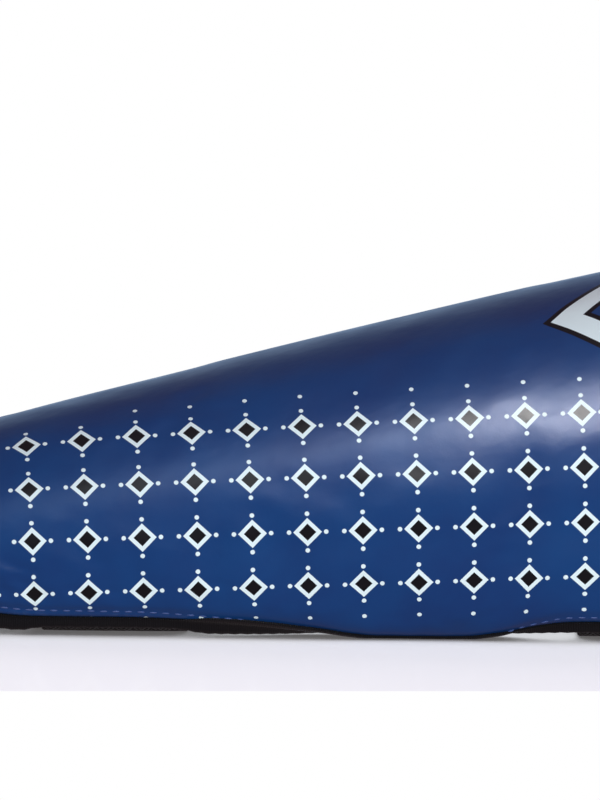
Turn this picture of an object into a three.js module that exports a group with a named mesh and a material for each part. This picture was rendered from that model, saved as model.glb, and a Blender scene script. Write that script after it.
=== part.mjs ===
// Shin and instep guard for kicking sports, lying on its open side with its straps fastened.
// A padded shell covers the front of the shin and a second, shorter one the top of the foot. A leather hinge
// joins them at the ankle. Both are open behind, where two straps cross the calf and one passes under the sole.
// Millimetres, +Z up. +X points to the knee, and the ridge of the shin is on the plane Y = 0. The near wing, at
// -Y, carries the roots of the straps, and the far wing, at +Y, the patches that they fasten on.
import * as THREE from "three";

// Padded shell of the shin. The hollow's sizes are those just under the knee.
const SHIN_LENGTH = 350;
const SHIN_HOLLOW_HALF_WIDTH = 57;
const SHIN_HOLLOW_HEIGHT = 109;
const SHIN_PAD_KNEE = 26;
const SHIN_PAD_ANKLE = 19;
const SHIN_PAD_WING = 14;

// Padded shell of the instep. Its hollow is widest over the ball of the foot.
const INSTEP_LENGTH = 172;
const INSTEP_HOLLOW_HALF_WIDTH = 47;
const INSTEP_HOLLOW_DEPTH = 46;
const INSTEP_ARCH = 7;
const INSTEP_PAD_FRONT = 17;
const INSTEP_PAD_WING = 11;
const INSTEP_RISE_DEG = 27;
const ANKLE_GAP = 16;

// Sewn layers.
const LINING = 3;
const EDGE_COVER = 3;
const PAD_ROUNDING = 19;
const BINDING_HEIGHT = 4;
const BINDING_PROUD = 0.8;
const BINDING_ROUNDING = 1.3;
const HINGE_THICKNESS = 2.5;
const HINGE_LAP = 15;
const HINGE_HALF_WIDTH = 25;
const HINGE_INSET = 1;
const HINGE_RUN = 6;

// Straps. Distances are from the ankle edge of the shell that carries them to the strap's middle. The lower calf
// strap is placed past the shell's rounded corner, where the edge runs straight.
const STRAP_THICKNESS = 2.5;
const CALF_STRAP_WIDTH = 50;
const LOWER_STRAP_PAST_CORNER = 24;
const UPPER_STRAP_DISTANCE = 271;
const STRAP_ROOT = 32;
const STRAP_BEND_RADIUS = 5;
const STRAP_WRAP_START = 7;
const PATCH_THICKNESS = 1.5;
const PATCH_MARGIN = 3;
const PATCH_REACH_SHARE = 0.62;
const FOOT_STRAP_WIDTH = 38;
const FOOT_STRAP_DISTANCE = 74;
const FOOT_STRAP_ROOT = 24;
const FOOT_STRAP_DROP = 5;

// Clearances between sewn pieces and to the floor.
const SEAM_GAP = 0.3;
const BINDING_GAP = 0.5;
const PATCH_GAP = 0.6;
const STRAP_GAP = 1.1;
const HINGE_GAP = 0.7;
const FLOOR_GAP = 0.2;

// The hollow of the shin: where the section is, as a share of the length from the ankle edge, and its half
// width, the height of its ridge and the height of its widest level, as shares of the sizes under the knee.
const SHIN_SECTIONS = [
  { at: 0.0, width: 0.57, height: 0.275, widest: 0.16 },
  { at: 0.05, width: 0.59, height: 0.34, widest: 0.2 },
  { at: 0.14, width: 0.63, height: 0.434, widest: 0.245 },
  { at: 0.34, width: 0.735, height: 0.588, widest: 0.31 },
  { at: 0.53, width: 0.835, height: 0.726, widest: 0.36 },
  { at: 0.73, width: 0.92, height: 0.862, widest: 0.4 },
  { at: 0.9, width: 0.98, height: 0.962, widest: 0.42 },
  { at: 1.0, width: 1.0, height: 1.0, widest: 0.43 },
];

// How the lower edge of the wings lies. Straps pull it straight and hold it up; between them it curls under
// and its padding rests on the floor. curl is in degrees, and belly is 1 where the padding meets the floor.
const SHIN_EDGE = [
  { at: 0.0, curl: 10, belly: 0 },
  { at: 0.27, curl: 12, belly: 0 },
  { at: 0.36, curl: 26, belly: 0.4 },
  { at: 0.44, curl: 48, belly: 0.8 },
  { at: 0.51, curl: 66, belly: 1 },
  { at: 0.58, curl: 68, belly: 1 },
  { at: 0.63, curl: 54, belly: 0.95 },
  { at: 0.67, curl: 30, belly: 0.5 },
  { at: 0.705, curl: 14, belly: 0 },
  { at: 1.0, curl: 12, belly: 0 },
];
const BELLY_ROUNDING_SHARE = 0.42;

// The hollow of the instep, as shares of its length from the ankle edge to the toes, its half width over the
// ball of the foot, its arch and its depth.
const INSTEP_SECTIONS = [
  { at: 0.0, width: 0.7, arch: 0.0, depth: 0.62 },
  { at: 0.15, width: 0.76, arch: 0.35, depth: 0.78 },
  { at: 0.45, width: 0.9, arch: 0.95, depth: 1.0 },
  { at: 0.75, width: 1.0, arch: 0.9, depth: 0.96 },
  { at: 1.0, width: 0.97, arch: 0.2, depth: 0.84 },
];
const INSTEP_CURL_DEG = 16;
const INSTEP_WIDEST_SHARE = 0.6;

// Rounded corners of each panel: how far the rounding runs along the leg, and the share of the panel's width
// that is left at its end.
const SHIN_ANKLE_CORNER = { run: 66, left: 0.5 };
const SHIN_KNEE_CORNER = { run: 50, left: 0.66 };
const INSTEP_ANKLE_CORNER = { run: 24, left: 0.62 };
const INSTEP_TOE_CORNER = { run: 62, left: 0.3 };

// How the hollow is drawn and where its front padding gives way to the wing.
const OVAL_POWER = 0.93;
const CURL_POWER = 2.6;
const FRONT_PAD_ENDS = 0.2;
const WING_PAD_STARTS = 0.74;

// Steps of the faceted surfaces.
const OVAL_STEPS = 24;
const WALL_STEPS = 16;
const WALL_LENGTH_ROUNDS = 12;
const CORNER_STEPS = 7;
const SHIN_STEPS = 13;
const INSTEP_STEPS = 4;
const FRONT_STEPS = 5;
const ROUNDING_STEPS = 3;
const STRAP_WIDTH_STEPS = 3;
const STRAP_BEND_STEPS = 4;
const LAY_STEPS = 10;
const PATCH_FIRST_STEP = 2;
const STRAP_LAST_STEP = 9;
const HINGE_STEPS = 8;

const RIGHT_ANGLE = Math.PI / 2;
const radians = THREE.MathUtils.degToRad;
const { lerp, clamp, smoothstep } = THREE.MathUtils;
const steps = (count) => Array.from({ length: count + 1 }, (_, i) => i / count);

// Reads one column of a table at a share of the length, with a smooth curve that never overshoots its rows.
function read(table, column, share) {
  const at = clamp(share, 0, 1);
  const slope = (i) => (table[i + 1][column] - table[i][column]) / (table[i + 1].at - table[i].at);
  const lean = (i) => {
    if (i === 0 || i === table.length - 1) return slope(Math.min(i, table.length - 2));
    const [before, after] = [slope(i - 1), slope(i)];
    return before * after > 0 ? (2 * before * after) / (before + after) : 0;
  };
  const i = Math.max(0, table.findIndex((row) => row.at >= at) - 1);
  const width = table[i + 1].at - table[i].at;
  const t = (at - table[i].at) / width;
  const [start, end] = [table[i][column], table[i + 1][column]];
  const rise = t * t * (3 - 2 * t);
  const startLean = t * (1 - t) ** 2 * width * lean(i);
  const endLean = t * t * (t - 1) * width * lean(i + 1);
  return lerp(start, end, rise) + startLean + endLean;
}

// Padding swells from the sewn edge to its full thickness like a quarter of a circle.
const swell = (fromEdge, rounding) => Math.sqrt(1 - (1 - clamp(fromEdge / rounding, 0, 1)) ** 2);
const EDGE_THICKNESS = LINING + SEAM_GAP + EDGE_COVER;

// The side wall of a hollow runs down from its widest level and curls inward: its steps, each as far inward and
// down as a wall of length 1 goes, with its lean.
function wallSteps(curl) {
  const walked = [{ inward: 0, down: 0, lean: 0 }];
  for (let i = 1; i <= WALL_STEPS; i++) {
    const lean = curl * ((i - 0.5) / WALL_STEPS) ** CURL_POWER;
    const { inward, down } = walked[i - 1];
    const step = 1 / WALL_STEPS;
    walked.push({ inward: inward + step * Math.sin(lean), down: down + step * Math.cos(lean), lean });
  }
  return walked;
}

// The wall's length that brings the lowest point of its padding, or of its binding, to a height over the floor.
function wallLengthTo(floor, widest, curl, pad, rounding) {
  const walked = wallSteps(curl);
  const end = walked[WALL_STEPS];
  let length = (widest - floor) / end.down;
  for (let round = 0; round < WALL_LENGTH_ROUNDS; round++) {
    const padLow = walked.map(({ down, lean }, i) => {
      const thickness = lerp(EDGE_THICKNESS, pad, swell((1 - i / WALL_STEPS) * length, rounding));
      return widest - down * length - thickness * Math.sin(lean);
    });
    const bindingLow =
      widest -
      end.down * length -
      BINDING_HEIGHT * Math.cos(curl) -
      (EDGE_THICKNESS + BINDING_PROUD) * Math.sin(curl);
    length += (Math.min(bindingLow, ...padLow) - floor) / end.down;
  }
  return length;
}

// Half of a hollow's outline, from its ridge to its sewn edge: a quarter of an oval, then the side wall. It
// answers with the place and the downward direction at any distance along it, and runs on straight past the edge.
function outlineOf({ halfWidth, ridge, widest, curl, wall }) {
  const points = steps(OVAL_STEPS).map((t) => [
    halfWidth * Math.sin(t * RIGHT_ANGLE) ** OVAL_POWER,
    widest + (ridge - widest) * Math.max(0, Math.cos(t * RIGHT_ANGLE)) ** OVAL_POWER,
  ]);
  for (const { inward, down } of wallSteps(curl).slice(1)) {
    points.push([halfWidth - inward * wall, widest - down * wall]);
  }
  const along = [0];
  for (let i = 1; i < points.length; i++) {
    along.push(along[i - 1] + Math.hypot(points[i][0] - points[i - 1][0], points[i][1] - points[i - 1][1]));
  }
  const arc = along[along.length - 1];
  const at = (distance) => {
    const found = along.findIndex((a) => a >= distance);
    const i = clamp(found < 0 ? points.length - 1 : found, 1, points.length - 1);
    const span = along[i] - along[i - 1];
    const t = (distance - along[i - 1]) / span;
    const [dy, dz] = [points[i][0] - points[i - 1][0], points[i][1] - points[i - 1][1]];
    return { y: points[i - 1][0] + dy * t, z: points[i - 1][1] + dz * t, dy: dy / span, dz: dz / span };
  };
  return { arc, at };
}

// A padded panel that wraps round a limb. x runs along the limb from its low end to its high end, and a round it
// from the ridge, positive towards the far wing.
class Panel {
  constructor({ low, high, section, lowCorner, highCorner, bodySteps, pad }) {
    Object.assign(this, { low, high, section, lowCorner, highCorner, pad });
    this.outlines = new Map();
    const turns = steps(CORNER_STEPS).map((t) => 1 - Math.cos(t * RIGHT_ANGLE));
    const [first, last] = [low + lowCorner.run, high - highCorner.run];
    this.stations = [
      ...turns.map((t) => low + lowCorner.run * t),
      ...steps(bodySteps).slice(1, -1).map((t) => lerp(first, last, t)),
      ...turns.map((t) => high - highCorner.run * t).reverse(),
    ];
    this.edge = this.stations.map((x) => [x, this.edgeAt(x)]);
    const ends = [low, high].map((x) => [[x, 0], [x, this.edgeAt(x)]]);
    this.rim = [...ends[0], ...this.edge, ...ends[1].reverse()];
  }

  outline(x) {
    if (!this.outlines.has(x)) this.outlines.set(x, outlineOf(this.section(x)));
    return this.outlines.get(x);
  }

  // How far round the limb the panel reaches at x, with its corners rounded.
  edgeAt(x) {
    const rounded = ({ run, left }, fromEnd) => lerp(left, 1, Math.sqrt(1 - (1 - clamp(fromEnd / run, 0, 1)) ** 2));
    const share = rounded(this.lowCorner, x - this.low) * rounded(this.highCorner, this.high - x);
    return this.outline(x).arc * share;
  }

  // Distance from a place on the panel to its sewn edge, as on the flat cut pattern.
  fromEdge(x, a) {
    let nearest = Infinity;
    for (let i = 1; i < this.rim.length; i++) {
      const [[x0, a0], [x1, a1]] = [this.rim[i - 1], this.rim[i]];
      const [dx, da] = [x1 - x0, a1 - a0];
      const t = clamp(((x - x0) * dx + (Math.abs(a) - a0) * da) / (dx * dx + da * da || 1), 0, 1);
      nearest = Math.min(nearest, Math.hypot(x0 + dx * t - x, a0 + da * t - Math.abs(a)));
    }
    return nearest;
  }

  place(x, a) {
    const { y, z } = this.outline(x).at(Math.abs(a));
    return new THREE.Vector3(x, y * Math.sign(a), z);
  }

  // The direction away from the limb.
  outward(x, a) {
    const { dy, dz } = this.outline(x).at(Math.abs(a));
    const side = a < 0 ? -1 : 1;
    const reach = 1;
    const [x0, x1] = [Math.max(this.low, x - reach), Math.min(this.high, x + reach)];
    const lengthwise = this.place(x1, a).sub(this.place(x0, a)).normalize();
    const across = new THREE.Vector3(0, dy * side, dz);
    return lengthwise.cross(across).multiplyScalar(side).normalize();
  }

  // A point over the hollow's surface at x and a, lifted away from the limb.
  over(x, a, lift) {
    return this.place(x, a).addScaledVector(this.outward(x, a), lift);
  }

  thickness(x, a) {
    const { front, wing } = this.pad(x);
    const round = Math.abs(a) / this.outline(x).arc;
    const full = lerp(front, wing, smoothstep(round, FRONT_PAD_ENDS, WING_PAD_STARTS));
    return lerp(EDGE_THICKNESS, full, swell(this.fromEdge(x, a), this.section(x).rounding));
  }

  // Columns from the near edge over the ridge to the far edge, closer together where the padding rounds off.
  columns(x) {
    const edge = this.edgeAt(x);
    const half = [
      ...steps(FRONT_STEPS).map((t) => t * Math.max(edge - PAD_ROUNDING, edge / 2)),
      ...steps(ROUNDING_STEPS)
        .slice(1)
        .map((t) => edge - Math.min(PAD_ROUNDING, edge / 2) * (1 - Math.sin(t * RIGHT_ANGLE))),
    ];
    return [...half.slice(1).reverse().map((a) => -a), ...half];
  }

  grid(lift) {
    return this.stations.map((x) => this.columns(x).map((a) => this.over(x, a, lift(x, a))));
  }
}

// A closed solid between two grids of points, the one away from the limb first.
function slab(outer, inner) {
  const [rows, columns] = [outer.length, outer[0].length];
  const positions = [...outer.flat(), ...inner.flat()].flatMap((p) => [p.x, p.y, p.z]);
  const index = [];
  const quad = (a, b, c, d) => index.push(a, b, c, a, c, d);
  const top = (i, j) => i * columns + j;
  const under = (i, j) => rows * columns + top(i, j);
  for (let i = 0; i + 1 < rows; i++) {
    for (let j = 0; j + 1 < columns; j++) {
      quad(top(i, j), top(i + 1, j), top(i + 1, j + 1), top(i, j + 1));
      quad(under(i, j), under(i, j + 1), under(i + 1, j + 1), under(i + 1, j));
    }
    quad(top(i, 0), under(i, 0), under(i + 1, 0), top(i + 1, 0));
    const j = columns - 1;
    quad(top(i + 1, j), under(i + 1, j), under(i, j), top(i, j));
  }
  for (let j = 0; j + 1 < columns; j++) {
    quad(top(0, j + 1), under(0, j + 1), under(0, j), top(0, j));
    const i = rows - 1;
    quad(top(i, j), under(i, j), under(i, j + 1), top(i, j + 1));
  }
  return geometryOf(positions, index);
}

// A closed ring through sections of equal point count.
function ring(sections) {
  const [count, sides] = [sections.length, sections[0].length];
  const positions = sections.flat().flatMap((p) => [p.x, p.y, p.z]);
  const index = [];
  for (let i = 0; i < count; i++) {
    const next = (i + 1) % count;
    for (let k = 0; k < sides; k++) {
      const [k0, k1] = [k, (k + 1) % sides];
      const [a, b] = [i * sides + k0, next * sides + k0];
      const [c, d] = [next * sides + k1, i * sides + k1];
      index.push(a, b, c, a, c, d);
    }
  }
  return geometryOf(positions, index);
}

function geometryOf(positions, index) {
  const geometry = new THREE.BufferGeometry();
  geometry.setAttribute("position", new THREE.Float32BufferAttribute(positions, 3));
  geometry.setIndex(index);
  geometry.computeVertexNormals();
  return geometry;
}

// Cover and foam in one: from the lining's seam out to the padded face.
function padGeometry(panel) {
  const outer = panel.grid((x, a) => panel.thickness(x, a));
  const inner = panel.grid(() => LINING + SEAM_GAP);
  return slab(outer, inner);
}

function liningGeometry(panel) {
  const outer = panel.grid(() => LINING);
  const inner = panel.grid(() => 0);
  return slab(outer, inner);
}

// The binding caps the sewn edge all round the panel.
function bindingGeometry(panel) {
  const { stations, low, high } = panel;
  const along = (x, side) => [x, side * panel.edgeAt(x)];
  const round = [
    ...stations.map((x) => along(x, 1)),
    ...panel.columns(high).slice(1, -1).reverse().map((a) => [high, a]),
    ...[...stations].reverse().map((x) => along(x, -1)),
    ...panel.columns(low).slice(1, -1).map((a) => [low, a]),
  ];
  const [near, far] = [-BINDING_PROUD, EDGE_THICKNESS + BINDING_PROUD];
  const profile = [
    [near, BINDING_GAP],
    [(near + far) / 2, BINDING_GAP],
    [far, BINDING_GAP],
    [far, BINDING_HEIGHT - BINDING_ROUNDING],
    [far - BINDING_ROUNDING, BINDING_HEIGHT],
    [near + BINDING_ROUNDING, BINDING_HEIGHT],
    [near, BINDING_HEIGHT - BINDING_ROUNDING],
  ];
  const places = round.map(([x, a]) => panel.place(x, a));
  return ring(
    round.map(([x, a], i) => {
      const before = places[(i + round.length - 1) % round.length];
      const after = places[(i + 1) % round.length];
      const up = panel.outward(x, a);
      const off = up.clone().cross(after.clone().sub(before)).normalize();
      return profile.map(([lift, beyond]) =>
        places[i].clone().addScaledVector(up, lift).addScaledVector(off, beyond),
      );
    }),
  );
}

// A strap's two faces over one section, the floor side last, from its middle line.
function facesOf(x, line) {
  return line.map(([y, z], i) => {
    const [y0, z0] = line[Math.max(0, i - 1)];
    const [y1, z1] = line[Math.min(line.length - 1, i + 1)];
    const share = STRAP_THICKNESS / 2 / Math.hypot(y1 - y0, z1 - z0);
    const [ny, nz] = [(z1 - z0) * share, (y0 - y1) * share];
    return [new THREE.Vector3(x, y - ny, z - nz), new THREE.Vector3(x, y + ny, z + nz)];
  });
}

const strapOf = (sections) =>
  slab(
    sections.map((faces) => faces.map(([limbSide]) => limbSide)),
    sections.map((faces) => faces.map(([, floorSide]) => floorSide)),
  );

// A round bend from direction u into direction v, both unit vectors in the section, at the corner where they meet.
function bend(corner, u, v, radius) {
  const turn = Math.acos(clamp(u[0] * v[0] + u[1] * v[1], -1, 1));
  const setback = radius * Math.tan(turn / 2);
  const start = [corner[0] - u[0] * setback, corner[1] - u[1] * setback];
  const side = Math.sign(u[0] * v[1] - u[1] * v[0]);
  const inward = [-u[1] * side, u[0] * side];
  const middle = [start[0] + inward[0] * radius, start[1] + inward[1] * radius];
  return steps(STRAP_BEND_STEPS).map((t) => {
    const angle = turn * t * side;
    const [ry, rz] = [start[0] - middle[0], start[1] - middle[1]];
    return [
      middle[0] + ry * Math.cos(angle) - rz * Math.sin(angle),
      middle[1] + ry * Math.sin(angle) + rz * Math.cos(angle),
    ];
  });
}

// Where a line from a point along a direction meets a level.
const meet = ([y, z], [dy, dz], level) => [y + (dy * (level - z)) / dz, level];

// The middle line of a strap's root, sewn on the lining inside the +Y wing, from its top down to the edge, and
// its direction there.
function rootLine(panel, x, rootLength) {
  const { arc, at } = panel.outline(x);
  const clear = STRAP_GAP + STRAP_THICKNESS / 2;
  const line = [1, 0.45, 0].map((share) => {
    const { y, z, dy, dz } = at(arc - share * rootLength);
    const inward = clear + BINDING_PROUD * (1 - share);
    return [y + dz * inward, z - dy * inward];
  });
  const [[y0, z0], [y1, z1]] = line.slice(-2);
  const length = Math.hypot(y1 - y0, z1 - z0);
  return { line, direction: [(y1 - y0) / length, (z1 - z0) / length] };
}

const mirrored = (line) => line.map(([y, z]) => [-y, z]);

// How far round the far wing a calf strap and its patch lie at x, from the edge towards the ridge.
const layAt = (panel, x) =>
  steps(LAY_STEPS).map((t) => {
    const edge = panel.edgeAt(x);
    return edge - lerp(STRAP_WRAP_START, edge * PATCH_REACH_SHARE, t);
  });

// A strap over the calf opening: rooted inside the near wing, flat on the floor, then round the far wing's edge
// and up its padded face, where it lies on its patch.
function calfStrapFaces(panel, x) {
  const level = STRAP_THICKNESS / 2;
  const { line: root, direction } = rootLine(panel, x, STRAP_ROOT);
  const down = [-direction[0], direction[1]];
  const nearCorner = meet(mirrored(root).at(-1), down, level);
  const under = PATCH_GAP + PATCH_THICKNESS + SEAM_GAP;
  const wing = layAt(panel, x)
    .slice(0, STRAP_LAST_STEP + 1)
    .map((a) => {
      const lift = panel.thickness(x, a) + under;
      return [panel.over(x, a, lift), panel.over(x, a, lift + STRAP_THICKNESS)];
    });
  const [start, next] = wing.map(([lower, upper]) => [(lower.y + upper.y) / 2, (lower.z + upper.z) / 2]);
  const rise = Math.hypot(next[0] - start[0], next[1] - start[1]);
  const up = [(next[0] - start[0]) / rise, (next[1] - start[1]) / rise];
  const farCorner = meet(start, up, level);
  const floorLine = [
    ...mirrored(root),
    ...bend(nearCorner, down, [1, 0], STRAP_BEND_RADIUS),
    ...bend(farCorner, [1, 0], up, STRAP_BEND_RADIUS),
  ];
  return [...facesOf(x, floorLine), ...wing];
}

const across = (middle, width) => steps(STRAP_WIDTH_STEPS).map((t) => middle + width * (t - 0.5));

const calfStrapGeometry = (panel, middle) =>
  strapOf(across(middle, CALF_STRAP_WIDTH).map((x) => calfStrapFaces(panel, x)));

// The patch that a calf strap fastens on, sewn to the far wing.
function patchGeometry(panel, middle) {
  const reach = CALF_STRAP_WIDTH / 2 + PATCH_MARGIN;
  const stations = [middle - reach, ...across(middle, CALF_STRAP_WIDTH), middle + reach];
  const grid = (lift) =>
    stations.map((x) =>
      layAt(panel, x)
        .slice(PATCH_FIRST_STEP)
        .reverse()
        .map((a) => panel.over(x, a, panel.thickness(x, a) + lift)),
    );
  return slab(grid(PATCH_GAP + PATCH_THICKNESS), grid(PATCH_GAP));
}

// The strap under the sole, sewn inside both wings of the instep.
function footStrapGeometry(panel) {
  const stations = across(-FOOT_STRAP_DISTANCE, FOOT_STRAP_WIDTH);
  const lowest = Math.min(...stations.map((x) => panel.outline(x).at(panel.outline(x).arc).z));
  const level = lowest - BINDING_HEIGHT - FOOT_STRAP_DROP;
  return strapOf(
    stations.map((x) => {
      const { line, direction } = rootLine(panel, x, FOOT_STRAP_ROOT);
      const corner = meet(line.at(-1), direction, level);
      const far = [...line, ...bend(corner, direction, [-1, 0], STRAP_BEND_RADIUS)];
      return facesOf(x, [...mirrored(far), ...far.reverse()]);
    }),
  );
}

// The leather hinge at the ankle: a strip inside both linings, bridging the gap between the two shells.
function hingeGeometry(shinPanel, instepPanel, toShin) {
  const columns = steps(HINGE_STEPS).map((t) => lerp(-HINGE_HALF_WIDTH, HINGE_HALF_WIDTH, t));
  const rows = [HINGE_LAP, HINGE_LAP / 2, HINGE_INSET];
  const run = ([, middle, last]) => last.clone().addScaledVector(last.clone().sub(middle).normalize(), HINGE_RUN);
  const lines = (lift) =>
    columns.map((a) => {
      const onShin = rows.map((x) => shinPanel.over(x, a, lift));
      const onInstep = rows.map((x) => instepPanel.over(-x, a, lift).applyMatrix4(toShin));
      return new THREE.CatmullRomCurve3([...onInstep, run(onInstep), run(onShin), ...onShin.reverse()]);
    });
  const grid = (curves) => steps(HINGE_STEPS).map((t) => curves.map((curve) => curve.getPoint(t)));
  const clear = BINDING_PROUD + HINGE_GAP;
  return slab(grid(lines(-clear)), grid(lines(-clear - HINGE_THICKNESS)));
}

const shinShare = (x) => x / SHIN_LENGTH;
const shin = new Panel({
  low: 0,
  high: SHIN_LENGTH,
  lowCorner: SHIN_ANKLE_CORNER,
  highCorner: SHIN_KNEE_CORNER,
  bodySteps: SHIN_STEPS,
  pad: (x) => ({ front: lerp(SHIN_PAD_ANKLE, SHIN_PAD_KNEE, shinShare(x)), wing: SHIN_PAD_WING }),
  section: (x) => {
    const share = shinShare(x);
    const widest = SHIN_HOLLOW_HEIGHT * read(SHIN_SECTIONS, "widest", share);
    const curl = radians(read(SHIN_EDGE, "curl", share));
    const belly = read(SHIN_EDGE, "belly", share);
    const floor = lerp(STRAP_THICKNESS + SEAM_GAP, FLOOR_GAP, belly);
    const rounding = PAD_ROUNDING * lerp(1, BELLY_ROUNDING_SHARE, belly);
    return {
      halfWidth: SHIN_HOLLOW_HALF_WIDTH * read(SHIN_SECTIONS, "width", share),
      ridge: SHIN_HOLLOW_HEIGHT * read(SHIN_SECTIONS, "height", share),
      widest,
      curl,
      rounding,
      wall: wallLengthTo(floor, widest, curl, SHIN_PAD_WING, rounding),
    };
  },
});

// The instep's own frame has its origin at the ridge of its hollow, on its ankle edge, and its toes at -X.
const instep = new Panel({
  low: -INSTEP_LENGTH,
  high: 0,
  lowCorner: INSTEP_TOE_CORNER,
  highCorner: INSTEP_ANKLE_CORNER,
  bodySteps: INSTEP_STEPS,
  pad: () => ({ front: INSTEP_PAD_FRONT, wing: INSTEP_PAD_WING }),
  section: (x) => {
    const share = -x / INSTEP_LENGTH;
    const ridge = INSTEP_ARCH * read(INSTEP_SECTIONS, "arch", share);
    const depth = INSTEP_HOLLOW_DEPTH * read(INSTEP_SECTIONS, "depth", share);
    const widest = ridge - depth * INSTEP_WIDEST_SHARE;
    const curl = radians(INSTEP_CURL_DEG);
    return {
      halfWidth: INSTEP_HOLLOW_HALF_WIDTH * read(INSTEP_SECTIONS, "width", share),
      ridge,
      widest,
      curl,
      rounding: PAD_ROUNDING,
      wall: (depth * (1 - INSTEP_WIDEST_SHARE)) / wallSteps(curl)[WALL_STEPS].down,
    };
  },
});

const lowerStrapDistance = SHIN_ANKLE_CORNER.run + LOWER_STRAP_PAST_CORNER;

const blueCover = new THREE.MeshStandardMaterial({ color: 0x1d3d78, roughness: 0.38, metalness: 0 });
const blackLining = new THREE.MeshStandardMaterial({ color: 0x17181b, roughness: 0.85, metalness: 0 });
const blackTape = new THREE.MeshStandardMaterial({ color: 0x0e0e10, roughness: 0.6, metalness: 0 });
const blackWebbing = new THREE.MeshStandardMaterial({ color: 0x131315, roughness: 0.8, metalness: 0 });

function piece(name, geometry, material) {
  const mesh = new THREE.Mesh(geometry, material);
  mesh.name = name;
  return mesh;
}

const instepGroup = new THREE.Group();
instepGroup.position.set(-ANKLE_GAP, 0, shin.place(0, 0).z);
instepGroup.rotation.y = radians(INSTEP_RISE_DEG);
instepGroup.updateMatrix();
instepGroup.add(
  piece("instep_pad", padGeometry(instep), blueCover),
  piece("instep_lining", liningGeometry(instep), blackLining),
  piece("instep_binding", bindingGeometry(instep), blackTape),
  piece("foot_strap", footStrapGeometry(instep), blackWebbing),
);

const guard = new THREE.Group();
guard.add(
  piece("shin_pad", padGeometry(shin), blueCover),
  piece("shin_lining", liningGeometry(shin), blackLining),
  piece("shin_binding", bindingGeometry(shin), blackTape),
  piece("ankle_hinge", hingeGeometry(shin, instep, instepGroup.matrix), blueCover),
  piece("lower_strap", calfStrapGeometry(shin, lowerStrapDistance), blackWebbing),
  piece("upper_strap", calfStrapGeometry(shin, UPPER_STRAP_DISTANCE), blackWebbing),
  piece("lower_patch", patchGeometry(shin, lowerStrapDistance), blackWebbing),
  piece("upper_patch", patchGeometry(shin, UPPER_STRAP_DISTANCE), blackWebbing),
  instepGroup,
);

// The origin is under the middle of the whole guard, on the floor.
const box = new THREE.Box3().setFromObject(guard, true);
guard.position.x = -(box.min.x + box.max.x) / 2;
const part = new THREE.Group();
part.add(guard);

export default part;
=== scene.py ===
# %% [markdown]
# A padded shin and instep guard lies on its open side. The imported solids are loaded first and stay fixed:
# they give every later piece its place, and the box of one of them sets where the shin shell starts.

# %% Load the fixed solids
import math

import bpy
import numpy as np
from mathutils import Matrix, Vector


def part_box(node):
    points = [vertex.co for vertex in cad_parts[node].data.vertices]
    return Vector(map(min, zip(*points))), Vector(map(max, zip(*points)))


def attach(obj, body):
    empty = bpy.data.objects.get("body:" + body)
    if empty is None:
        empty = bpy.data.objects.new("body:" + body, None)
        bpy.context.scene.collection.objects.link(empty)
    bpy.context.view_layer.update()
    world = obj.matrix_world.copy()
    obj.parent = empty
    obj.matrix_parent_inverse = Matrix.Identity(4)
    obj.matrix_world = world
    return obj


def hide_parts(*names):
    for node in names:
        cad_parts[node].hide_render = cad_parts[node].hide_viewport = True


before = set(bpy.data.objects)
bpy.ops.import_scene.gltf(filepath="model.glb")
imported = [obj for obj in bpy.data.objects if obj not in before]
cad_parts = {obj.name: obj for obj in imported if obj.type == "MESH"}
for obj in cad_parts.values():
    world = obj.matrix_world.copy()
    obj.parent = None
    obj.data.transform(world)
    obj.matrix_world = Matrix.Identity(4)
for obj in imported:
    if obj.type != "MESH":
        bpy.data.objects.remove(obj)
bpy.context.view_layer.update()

# %% [markdown]
# The camera comes before the shapes, so that every later look is through the right lens. The picture is a
# close crop taken from just above the floor with a long lens, which keeps the ridge and the floor nearly
# parallel. A long focal length at two metres gives the same flat look.

# %% Camera
MM = 0.001
IMAGE_HEIGHT = 800
MM_PER_PIXEL = 0.342
CAMERA_DISTANCE = 2.2
CAMERA_ELEVATION = math.radians(7)
CAMERA_AIM = Vector((0.0623, 0.0, 0.0752))
SENSOR = 36

lens = bpy.data.cameras.new("close_side_view")
lens.sensor_width = SENSOR
lens.lens = SENSOR * CAMERA_DISTANCE / (IMAGE_HEIGHT * MM_PER_PIXEL * MM)
camera = bpy.data.objects.new("close_side_view", lens)
bpy.context.collection.objects.link(camera)
back = Vector((0, -math.cos(CAMERA_ELEVATION), math.sin(CAMERA_ELEVATION)))
camera.location = CAMERA_AIM + back * CAMERA_DISTANCE
camera.rotation_euler = (-back).to_track_quat("-Z", "Y").to_euler()
bpy.context.scene.camera = camera
print("focal length", round(lens.lens), "mm")

# %% [markdown]
# A guard like this is cut from flat panels that wrap round the leg. Describing it by a few named sizes and
# short tables of sections keeps the form easy to change. These are the same sizes, in millimetres, that the
# solids are made from, so the dressed pieces fit them without any pushing about.

# %% Sizes of the two shells
SHIN = dict(length=350, half_width=57, height=109, pad_knee=26, pad_ankle=19, pad_wing=14)
INSTEP = dict(length=172, half_width=47, depth=46, arch=7, pad_front=17, pad_wing=11, rise=27, gap=16)
CALF = dict(width=50, root=32, bend=5, wrap=7, lower=90, upper=271, on_patch=0.91)
LINING = 3
SEAM_GAP = 0.3
EDGE_COVER = 3
EDGE_THICKNESS = LINING + SEAM_GAP + EDGE_COVER
PAD_ROUNDING = 19
STRAP_THICKNESS = 2.5
FLOOR_GAP = 0.2
BINDING = dict(height=4, proud=0.8, gap=0.3)

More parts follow.
